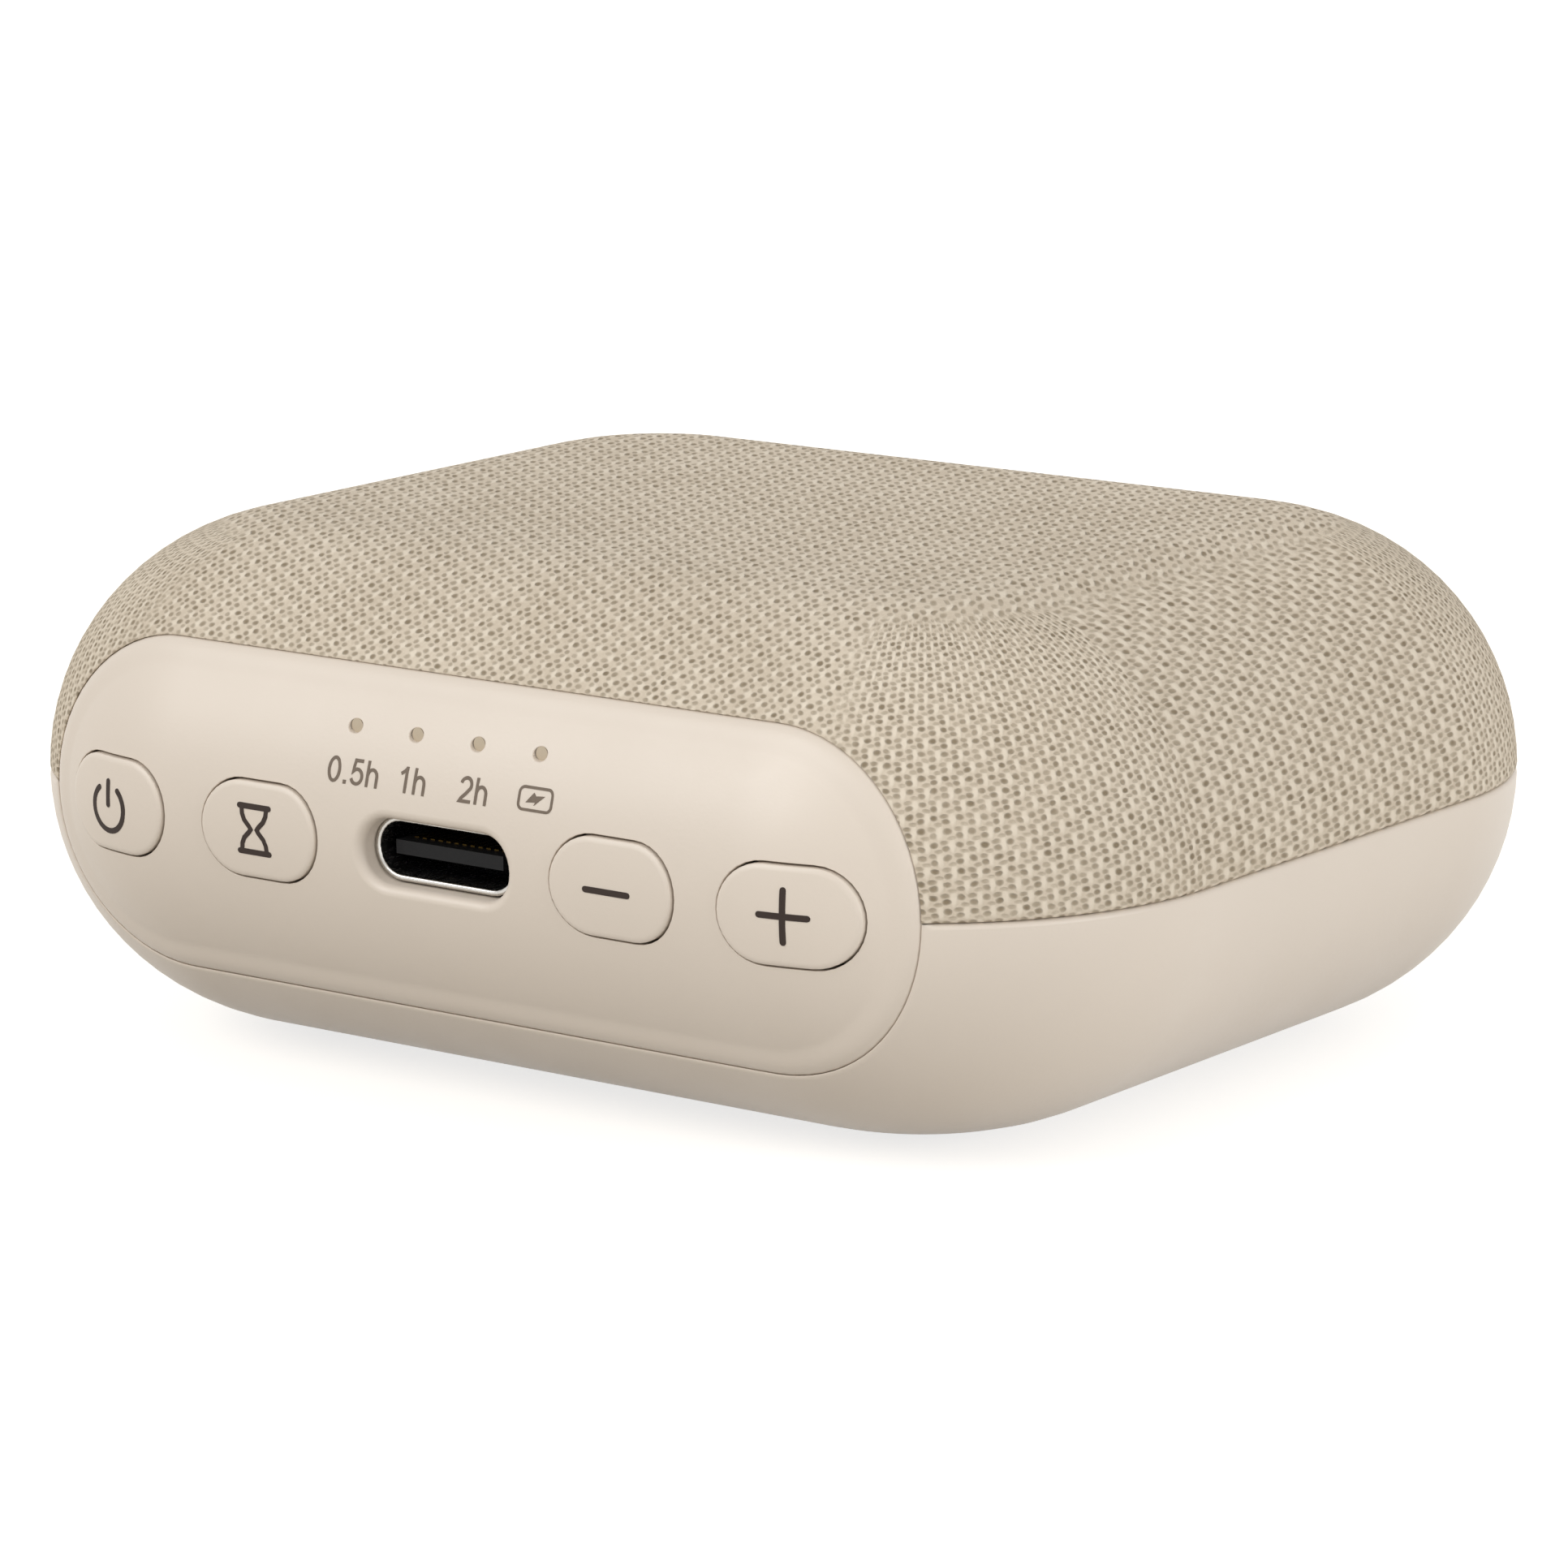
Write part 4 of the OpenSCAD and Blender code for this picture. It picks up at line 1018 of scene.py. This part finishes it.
# Each sign's lines in a plain sans-serif face, in units of its cap height
SIGNS = {
    ".": [[(0.19, 0.0), (0.19, 0.15)]],
    "0": [arc((0.385, 0.5), (0.26, 0.44), 0, 345, 23)],
    "1": [[(0.47, 0.0), (0.47, 1.0)], [(0.47, 0.94), (0.36, 0.82), (0.2, 0.72)]],
    "2": [arc((0.385, 0.69), (0.25, 0.25), 170, -30, 12)
          + [(0.4, 0.35), (0.2, 0.17), (0.13, 0.06), (0.67, 0.06)]],
    "5": [[(0.62, 0.94), (0.24, 0.94), (0.17, 0.5)] + arc((0.37, 0.34), (0.27, 0.28), 130, -160, 18)[1:]],
    "h": [[(0.14, 0.0), (0.14, 1.0)],
          [(0.14, 0.42)] + arc((0.375, 0.42), (0.235, 0.26), 150, 0, 10) + [(0.61, 0.0)]],
}


def letter(sign):
    """A sign's quads and its advance, in units of its cap height."""
    point = sign == "."
    quads = []
    for line in SIGNS[sign]:
        quads += stroke(line, POINT_LINE if point else LABEL_LINE / CAP_HEIGHT, closed=sign == "0")
    return quads, POINT_ADVANCE if point else DIGIT_ADVANCE


def label_lines():
    """The hours under the first three lamps."""
    quads = []
    for text, centre in LABEL_CENTRES.items():
        letters = [letter(sign) for sign in text]
        x = centre - sum(advance for _, advance in letters) * CAP_HEIGHT / 2
        for lines, advance in letters:
            quads += moved(lines, x, LABEL_Z, CAP_HEIGHT)
            x += advance * CAP_HEIGHT
    return quads


def battery_lines():
    """The outline of a battery with a lightning flash in it."""
    left, right, low, high, r = 5.08, 7.08, 3.15, 4.2, 0.28
    corners = [(right - r, high - r), (left + r, high - r), (left + r, low + r), (right - r, low + r)]
    outline = []
    for k, corner in enumerate(corners):
        outline += arc(corner, (r, r), 90 * k, 90 * k + 90, 5)
    flash = [[(5.52, 3.49), (6.13, 3.54), (6.1, 3.83), (5.96, 3.98)],
             [(6.03, 3.38), (6.64, 3.87), (6.06, 3.82), (6.1, 3.53)]]
    return stroke(outline, BATTERY_LINE, closed=True) + moved(flash, 0, 0)


# ---------------------------------------------------------------- camera

# The photograph's camera, aimed past the middle of the body at its middle height
AZIMUTH = math.radians(36.598)
ELEVATION = math.radians(12.249)
ROLL = math.radians(-0.259)
DISTANCE = 336.9
ASIDE = 0.083
UPWARD = -1.254
LENS = 149.43
SENSOR = 36.0


def seen_from(azimuth, elevation):
    """The direction of a place seen so far round from the front and so far up."""
    level = math.cos(elevation)
    return Vector((math.sin(azimuth) * level, -math.cos(azimuth) * level, math.sin(elevation)))


def make_camera():
    back = seen_from(AZIMUTH, ELEVATION)
    level = Vector((math.cos(AZIMUTH), math.sin(AZIMUTH), 0))
    upright = back.cross(level)
    right = level * math.cos(ROLL) + upright * math.sin(ROLL)
    up = upright * math.cos(ROLL) - level * math.sin(ROLL)
    data = bpy.data.cameras.new("camera")
    data.lens = LENS
    data.sensor_width = SENSOR
    data.sensor_fit = "HORIZONTAL"
    data.clip_start = 0.01
    data.clip_end = 20
    camera = add_object("camera", data)
    place = (Vector((0, 0, MID_Z)) + back * DISTANCE + right * ASIDE + up * UPWARD) * MM
    camera.matrix_world = Matrix.Translation(place) @ Matrix((right, up, back)).transposed().to_4x4()
    bpy.context.scene.camera = camera


# ---------------------------------------------------------------- materials

class Paint:
    """A material in the making, with short ways to add nodes. Places are millimetres in the object's frame.
    Its base colour is the given one or its slot's in the record."""

    def __init__(self, name, roughness, metallic=0.0, specular=0.5, base=None):
        self.name = name
        self.base = base or RECORDED.get(name)
        self.material = bpy.data.materials.new(name)
        self.material.use_nodes = True
        self.tree = self.material.node_tree
        self.surface({"Roughness": roughness, "Metallic": metallic, "Specular IOR Level": specular})
        self.place = self.vector("SCALE", self.node("ShaderNodeTexCoord", output="Object"), scale=1 / MM)

    def node(self, kind, inputs=None, output=0, **settings):
        made = self.tree.nodes.new(kind)
        for key, value in settings.items():
            setattr(made, key, value)
        for key, value in (inputs or {}).items():
            self.put(made.inputs[key], value)
        return made.outputs[output]

    def put(self, socket, value):
        """Links a socket to another one, or sets its value."""
        if isinstance(value, bpy.types.NodeSocket):
            self.tree.links.new(value, socket)
        else:
            socket.default_value = value

    def surface(self, inputs):
        """Sets or links inputs of the shader."""
        for key, value in inputs.items():
            self.put(self.tree.nodes["Principled BSDF"].inputs[key], value)

    def math(self, operation, first, second=0.0, third=0.0):
        return self.node("ShaderNodeMath", {0: first, 1: second, 2: third}, operation=operation)

    def vector(self, operation, first, second=None, third=None, scale=None):
        inputs = {0: first, 1: second, 2: third, "Scale": scale}
        inputs = {key: value for key, value in inputs.items() if value is not None}
        output = "Value" if operation in ("DOT_PRODUCT", "LENGTH") else "Vector"
        return self.node("ShaderNodeVectorMath", inputs, output, operation=operation)

    def spread(self, value, low, high, to_low=0.0, to_high=1.0, smooth=False):
        """Value taken from one range to another, and kept in it."""
        inputs = {"Value": value, "From Min": low, "From Max": high, "To Min": to_low, "To Max": to_high}
        kind = "SMOOTHSTEP" if smooth else "LINEAR"
        return self.node("ShaderNodeMapRange", inputs, interpolation_type=kind)

    def noise(self, size, detail=2.0, stretch=None):
        """Soft noise from 0 to 1, with blots of about the given size in millimetres."""
        where = self.place if stretch is None else self.vector("MULTIPLY", self.place, stretch)
        return self.node("ShaderNodeTexNoise", {"Vector": where, "Scale": 1 / size, "Detail": detail}, "Fac")

    def mix(self, share, first, second):
        """A number between two others."""
        return self.node("ShaderNodeMix", {0: share, 2: first, 3: second})

    def blend(self, share, first, second):
        """A colour between two others."""
        first, second = ((*c, 1.0) if isinstance(c, tuple) else c for c in (first, second))
        return self.node("ShaderNodeMix", {0: share, 6: first, 7: second}, 2, data_type="RGBA")

    def colour(self, value):
        self.surface({"Base Color": value})

    def tint(self, share, dark, light):
        """Colours it between a darker and a lighter shade of its base."""
        self.colour(self.blend(share, shade(self.base, dark), shade(self.base, light)))

    def roughness(self, value):
        self.surface({"Roughness": value})

    def bump(self, height, depth, strength=1.0, before=None):
        """Raises the surface by up to depth millimetres where height is 1."""
        inputs = {"Height": height, "Distance": depth * MM, "Strength": strength}
        if before is not None:
            inputs["Normal"] = before
        made = self.node("ShaderNodeBump", inputs, "Normal")
        self.surface({"Normal": made})
        return made


def linear(colour):
    """The linear light of a screen colour given from 0 to 1."""
    return tuple(c / 12.92 if c <= 0.04045 else ((c + 0.055) / 1.055) ** 2.4 for c in colour)


def screen(red, green, blue):
    """The linear light of a screen colour given from 0 to 255."""
    return linear((red / 255, green / 255, blue / 255))


def shade(colour, factor):
    """A colour made darker or lighter."""
    return tuple(min(c * factor, 1.0) for c in colour)


RECORDED = {m["slot"]: linear(m["base_color"][:3]) for m in frame["record"]["materials"]}
SATIN = {"grain": 0.22, "depth": 0.006, "contrast": 0.02}
ALONG_X = (0.15, 1.0, 1.0)
ALONG_Y = (1.0, 0.2, 1.0)
# How much darker the gold contacts are painted, as shade deep inside the socket
CONTACT_PAINTED_SHADE = 0.25


def moulded(slot, colour=None, roughness=0.45, grain=0.35, depth=0.01, contrast=0.06, specular=0.5):
    """Moulded plastic, rubber or paper: a slight cloudiness, an uneven sheen and a fine grain."""
    paint = Paint(slot, roughness, specular=specular, base=colour)
    paint.tint(paint.noise(9.0, 3.0), 1 - contrast, 1 + contrast)
    grains = paint.noise(grain, 3.0)
    sheen = paint.math("ADD", paint.noise(4.0, 2.0), grains)
    paint.roughness(paint.spread(sheen, 0.6, 1.4, roughness * 0.88, roughness * 1.12))
    paint.bump(grains, depth)
    return paint


def brushed(slot, colour=None, roughness=0.3, stretch=ALONG_X, depth=0.006, contrast=0.1):
    """Metal with fine parallel marks of its forming, long along the axis with the small stretch."""
    paint = Paint(slot, roughness, metallic=1.0, base=colour)
    lines = paint.noise(0.12, 3.0, stretch=stretch)
    stains = paint.noise(2.5, 3.0)
    paint.tint(paint.math("MULTIPLY", lines, stains), 1 - contrast, 1 + contrast)
    paint.roughness(paint.spread(lines, 0.3, 0.7, roughness * 0.8, roughness * 1.25))
    paint.bump(lines, depth)
    return paint


# The weave's marks in one period by one pair of rows, with the same again half a period and one row along:
# place, half width and height, and strength, which sets how dark the painted shade in a hole is and how deep
# it dips. The sheet's marks are narrower and taller than the side's.
SIDE_MARKS = [
    ((0.0, 0.0), (0.13, 0.09), 0.95),
    ((0.476, -0.164), (0.125, 0.085), 0.85),
    ((0.411, 0.067), (0.13, 0.075), 0.65),
    ((0.17, -0.25), (0.14, 0.065), 0.45),
]
SHEET_MARKS = [
    ((0.0, 0.0), (0.082, 0.12), 0.95),
    ((0.32, -0.01), (0.08, 0.115), 0.85),
    ((0.172, 0.306), (0.08, 0.11), 0.68),
    ((0.205, -0.294), (0.08, 0.095), 0.55),
]
SIDE_RIDGE = ((-0.289, -0.06), (0.12, 0.24))
SHEET_RIDGE = ((-0.19, 0.0), (0.1, 0.24))
MARK_END = 2.3
SWAY = 0.24
RIDGE_HIGHLIGHT_STRENGTH = 0.5
# The yarn's colours, with a painted highlight for the raised ridge threads and painted shade for the holes
RIDGE_PAINTED_HIGHLIGHT = screen(232, 221, 203)
THREAD = screen(211, 198, 179)
THREAD_SHADE = screen(197, 183, 163)
HOLE_PAINTED_SHADE = screen(134, 120, 98)


def mark_shape(paint, place, centre, radii):
    """A soft oval at a place in each cell of the weave's two lattices, from 0 to 1."""
    half = (0.5, 0.5, 1.0)
    shapes = []
    for shift in (0.0, 0.5):
        from_centre = paint.vector("SUBTRACT", place, (centre[0] + shift, centre[1] + shift, 0.0))
        cell = paint.vector("WRAP", from_centre, half, tuple(-h for h in half))
        scaled = paint.vector("MULTIPLY", cell, (1 / radii[0], 1 / radii[1], 0.0))
        distance = paint.vector("DOT_PRODUCT", scaled, scaled)
        shapes.append(paint.spread(distance, 0.0, MARK_END, 1.0, 0.0, smooth=True))
    return paint.math("MAXIMUM", *shapes)


def weave_marks(paint, place, marks):
    """All holes of one weave, where the cloth dips and is painted dark as the shade in them."""
    dark = None
    for centre, radii, strength in marks:
        shape = paint.math("MULTIPLY", mark_shape(paint, place, centre, radii), strength)
        dark = shape if dark is None else paint.math("MAXIMUM", dark, shape)
    return dark


def speaker_cloth():
    """Woven polyester: pale matt yarns with small holes between them. The holes are painted dark as the shade
    in them, and the raised ridge threads are painted lighter as a highlight.
    """
    paint = Paint("speaker_cloth", 0.85, specular=0.2)
    side = paint.node("ShaderNodeAttribute", output="Vector", attribute_name="weave_side")
    sheet = paint.node("ShaderNodeAttribute", output="Vector", attribute_name="weave_sheet")
    share = paint.node("ShaderNodeSeparateXYZ", {0: side}, "Z")
    sway = paint.node("ShaderNodeTexNoise", {"Vector": paint.place, "Scale": 0.9, "Detail": 2.0}, "Color")
    sway = paint.vector("SCALE", paint.vector("SUBTRACT", sway, (0.5, 0.5, 0.5)), scale=SWAY)
    side = paint.vector("ADD", side, sway)
    sheet = paint.vector("ADD", sheet, sway)

    uneven = paint.spread(paint.noise(0.9, 1.0), 0.25, 0.75, 0.6, 1.2)
    dark = paint.mix(share, weave_marks(paint, side, SIDE_MARKS), weave_marks(paint, sheet, SHEET_MARKS))
    dark = paint.math("MULTIPLY", dark, uneven)
    ridge = paint.mix(share, mark_shape(paint, side, *SIDE_RIDGE), mark_shape(paint, sheet, *SHEET_RIDGE))

    fibre = paint.noise(0.25, 3.0)
    blots = paint.noise(6.0, 3.0)
    thread = paint.blend(paint.spread(paint.math("ADD", fibre, blots), 0.7, 1.3), THREAD_SHADE, THREAD)
    # The ridge threads are painted lighter, as a highlight on their raised tops
    thread = paint.blend(paint.math("MULTIPLY", ridge, RIDGE_HIGHLIGHT_STRENGTH), thread, RIDGE_PAINTED_HIGHLIGHT)
    # The holes are painted dark, as the shade seen in them
    paint.colour(paint.blend(dark, thread, HOLE_PAINTED_SHADE))
    height = paint.math("SUBTRACT", paint.math("MULTIPLY", ridge, 0.4), dark)
    height = paint.math("ADD", height, paint.math("MULTIPLY", fibre, 0.3))
    paint.bump(height, 0.1, 0.8)
    return paint


SOCKET_BRIGHT = (screen(190, 187, 182), screen(210, 207, 202))
# The painted shade that colours the socket's inside
SOCKET_PAINTED_SHADE = screen(148, 148, 150)
# How far behind its mouth the painted shade inside the socket starts, and is full
PAINTED_SHADE_FROM = 0.2
PAINTED_SHADE_TO = 1.6


def socket_metal():
    """Bright steel at the mouth, with painted shade darkening it inside the opening, where no light gets in.
    """
    paint = brushed("port_metal", roughness=0.24, stretch=ALONG_Y)
    mouth = box_mm("usb_shell")[0].y + USB_SUNK
    along = paint.node("ShaderNodeSeparateXYZ", {0: paint.place}, "Y")
    painted_shade = paint.spread(along, mouth + PAINTED_SHADE_FROM, mouth + PAINTED_SHADE_TO)
    bright = paint.blend(paint.noise(0.4), *SOCKET_BRIGHT)
    paint.colour(paint.blend(painted_shade, bright, SOCKET_PAINTED_SHADE))
    return paint


LIGHT_GUIDE = screen(206, 190, 166)


def clear_plastic():
    """The light guide: milky plastic that takes the colour of the casing round it."""
    paint = moulded("clear_plastic", LIGHT_GUIDE, roughness=0.4, grain=0.8, contrast=0.02)
    paint.surface({"Transmission Weight": 0.15, "IOR": 1.49})
    return paint


def circuit_board():
    """Green solder mask with the tracks under it showing as paler lines."""
    paint = moulded("board_laminate", roughness=0.3)
    inputs = {"Vector": paint.place, "Scale": 0.55, "Mortar Size": 0.06, "Mortar Smooth": 0.2}
    tracks = paint.node("ShaderNodeTexBrick", inputs, "Fac")
    mask = paint.blend(paint.noise(5.0, 3.0), shade(paint.base, 0.85), shade(paint.base, 1.15))
    paint.colour(paint.blend(tracks, mask, shade(paint.base, 1.9)))
    paint.bump(tracks, 0.02)
    return paint


def foil():
    """Aluminium pouch foil with soft creases, painted darker in their hollows as shade and lighter on their
    crests as highlight.
    """
    paint = Paint("battery_foil", 0.34, metallic=0.9)
    crease = paint.noise(3.0, 5.0)
    # Painted shade in the creases' hollows and painted highlight on their crests, following their bump
    paint.tint(crease, 0.85, 1.1)
    paint.roughness(paint.spread(crease, 0.3, 0.7, 0.26, 0.46))
    paint.bump(crease, 0.15)
    return paint


def foam():
    """Black cellular foam."""
    paint = moulded("black_foam", roughness=0.9, contrast=0.2)
    cells = paint.node("ShaderNodeTexVoronoi", {"Vector": paint.place, "Scale": 3.2}, "Distance")
    paint.bump(cells, 0.15)
    return paint


def coil_wire():
    """Enamelled copper wire wound in close turns up the coil, with painted shade in the grooves between the
    turns.
    """
    paint = Paint("coil_copper", 0.3, metallic=0.85)
    inputs = {"Vector": paint.place, "Scale": 1.6, "Distortion": 0.0}
    turns = paint.node("ShaderNodeTexWave", inputs, "Fac", wave_type="BANDS", bands_direction="Z")
    # Painted shade: darker in the grooves between the turns, following their bump
    paint.tint(turns, 0.6, 1.15)
    paint.bump(turns, 0.08)
    return paint


def ringed(slot, spacing, roughness, depth):
    """Pressed paper or cloth with rings about the speaker's axis."""
    paint = moulded(slot, roughness=roughness, grain=0.5, contrast=0.15, specular=0.3)
    inputs = {"Vector": paint.place, "Scale": 0.314 / spacing, "Distortion": 0.6}
    rings = paint.node("ShaderNodeTexWave", inputs, "Fac", wave_type="RINGS", rings_direction="Z")
    paint.bump(paint.noise(0.3, 4.0), 0.05, before=paint.bump(rings, depth))
    return paint


def ink(name, colour):
    """Printed ink, a little uneven at the grain of the plastic under it."""
    paint = Paint(name, 0.6, specular=0.3, base=colour)
    paint.tint(paint.noise(0.25, 3.0), 0.85, 1.2)
    paint.bump(paint.noise(0.3, 3.0), 0.01)
    return paint.material


PLASTIC = screen(216, 204, 190)
SYMBOL_INK = screen(46, 34, 28)
LABEL_INK = screen(112, 99, 86)


def make_materials():
    """One material for each slot of the record."""
    paints = [
        moulded("shell_plastic", PLASTIC, roughness=0.42, **SATIN),
        moulded("button_plastic", shade(PLASTIC, 1.01), roughness=0.45, **SATIN),
        speaker_cloth(),
        moulded("frame_plastic"),
        moulded("black_plastic", roughness=0.5, contrast=0.2, specular=0.2),
        moulded("ferrite", roughness=0.6, grain=0.15, depth=0.02, contrast=0.15),
        brushed("switch_metal"),
        socket_metal(),
        # The contacts' gold is painted darker, as shade inside the socket
        brushed("contact_gold", shade(RECORDED["contact_gold"], CONTACT_PAINTED_SHADE), stretch=ALONG_Y),
        clear_plastic(),
        moulded("lamp_plastic", roughness=0.3, contrast=0.03),
        circuit_board(),
        moulded("chip_ceramic", roughness=0.55, contrast=0.15),
        foil(),
        foam(),
        moulded("connector_plastic", roughness=0.45),
        moulded("red_insulation", roughness=0.4, contrast=0.1),
        moulded("black_insulation", roughness=0.4, contrast=0.2),
        brushed("speaker_steel", roughness=0.35),
        ringed("cone_paper", 1.6, 0.85, 0.04),
        moulded("surround_rubber", roughness=0.55, contrast=0.15),
        ringed("spider_cloth", 1.2, 0.8, 0.1),
        coil_wire(),
        brushed("screw_steel", roughness=0.4),
        moulded("foot_rubber", roughness=0.7, grain=0.3, depth=0.02, contrast=0.1),
    ]
    return {paint.name: paint.material for paint in paints}


def give(piece, material):
    piece.data.materials.clear()
    piece.data.materials.append(material)


# ---------------------------------------------------------------- lights and floor

AMBIENT = 0.58
# The floor: its size in metres, its colour, and the paler one that it reaches this far to the right, in
# millimetres
FLOOR_SIZE = 8.0
FLOOR_COLOUR = (0.42, 0.395, 0.35)
FLOOR_RIGHT = (0.74, 0.735, 0.72)
FLOOR_TURN = 70.0
FLOOR_GLOW = 0.75
# Name, direction that the light comes from (degrees round from the front and up), strength, apparent width
LAMPS = [
    ("key", -30, 35, 1.5, 35),
    ("fill", 50, 25, 0.15, 35),
    ("right", 90, 8, 1.35, 35),
]


def make_lights():
    for name, azimuth, elevation, strength, width in LAMPS:
        lamp = bpy.data.lights.new(name, "SUN")
        lamp.energy = strength
        lamp.angle = math.radians(width)
        source = seen_from(math.radians(azimuth), math.radians(elevation))
        add_object(name, lamp).rotation_euler = source.to_track_quat("Z", "Y").to_euler()


def seen_white(tree):
    """1 for rays from the camera, a mirror or glass, and 0 for light on the object."""
    path = tree.nodes.new("ShaderNodeLightPath")
    total = path.outputs["Is Camera Ray"]
    for name in ("Is Glossy Ray", "Is Transmission Ray"):
        add = tree.nodes.new("ShaderNodeMath")
        add.operation = "MAXIMUM"
        tree.links.new(total, add.inputs[0])
        tree.links.new(path.outputs[name], add.inputs[1])
        total = add.outputs[0]
    return total


def make_world():
    world = bpy.data.worlds.new("studio")
    world.use_nodes = True
    bpy.context.scene.world = world
    tree = world.node_tree
    background = tree.nodes["Background"]
    background.inputs["Color"].default_value = (1, 1, 1, 1)
    strength = tree.nodes.new("ShaderNodeMapRange")
    strength.inputs["To Min"].default_value = AMBIENT
    strength.inputs["To Max"].default_value = 1.0
    tree.links.new(seen_white(tree), strength.inputs["Value"])
    tree.links.new(strength.outputs[0], background.inputs["Strength"])


def make_floor():
    """A pale table top. A glow that lights nothing lifts it to white for the camera and leaves the shadow
    faint. It is paler towards the right, where it lights the shell from below."""
    mesh = bpy.data.meshes.new("floor")
    s = FLOOR_SIZE / 2
    mesh.from_pydata([(-s, -s, 0), (s, -s, 0), (s, s, 0), (-s, s, 0)], [], [(0, 1, 2, 3)])
    floor = add_object("floor", mesh)
    paint = Paint("table_top", 0.6, specular=0.1)
    across = paint.node("ShaderNodeSeparateXYZ", {0: paint.place}, "X")
    pale = paint.spread(across, 0.0, FLOOR_TURN, smooth=True)
    paint.colour(paint.blend(pale, FLOOR_COLOUR, FLOOR_RIGHT))
    glow = paint.math("MULTIPLY", seen_white(paint.tree), FLOOR_GLOW)
    paint.surface({"Emission Color": (1, 1, 1, 1), "Emission Strength": glow})
    give(floor, paint.material)


# ---------------------------------------------------------------- the whole

make_camera()
make_lights()
make_world()
make_floor()
MATERIALS = make_materials()
symbol_ink = ink("symbol_ink", SYMBOL_INK)
label_ink = ink("label_ink", LABEL_INK)

make_panel()
make_cloth()
make_base()
make_socket()
for key in BUTTONS:
    make_button(key)
for foot, place in FEET.items():
    make_foot(foot, place)
make_print("power_symbol", power_symbol(), "power_button", symbol_ink)
make_print("hourglass_symbol", hourglass_symbol(), "timer_button", symbol_ink)
make_print("minus_symbol", minus_symbol(), "volume_down_button", symbol_ink)
make_print("plus_symbol", plus_symbol(), "volume_up_button", symbol_ink)
make_print("panel_labels", label_lines() + battery_lines(), "casing", label_ink, PANEL_SINK - PRINT_T)
for part in frame["record"]["subparts"]:
    for holder in frame["nodes"][part["node"]].material_slots:
        holder.material = MATERIALS[part["material_slot"]]

bpy.context.scene.view_settings.view_transform = "Standard"
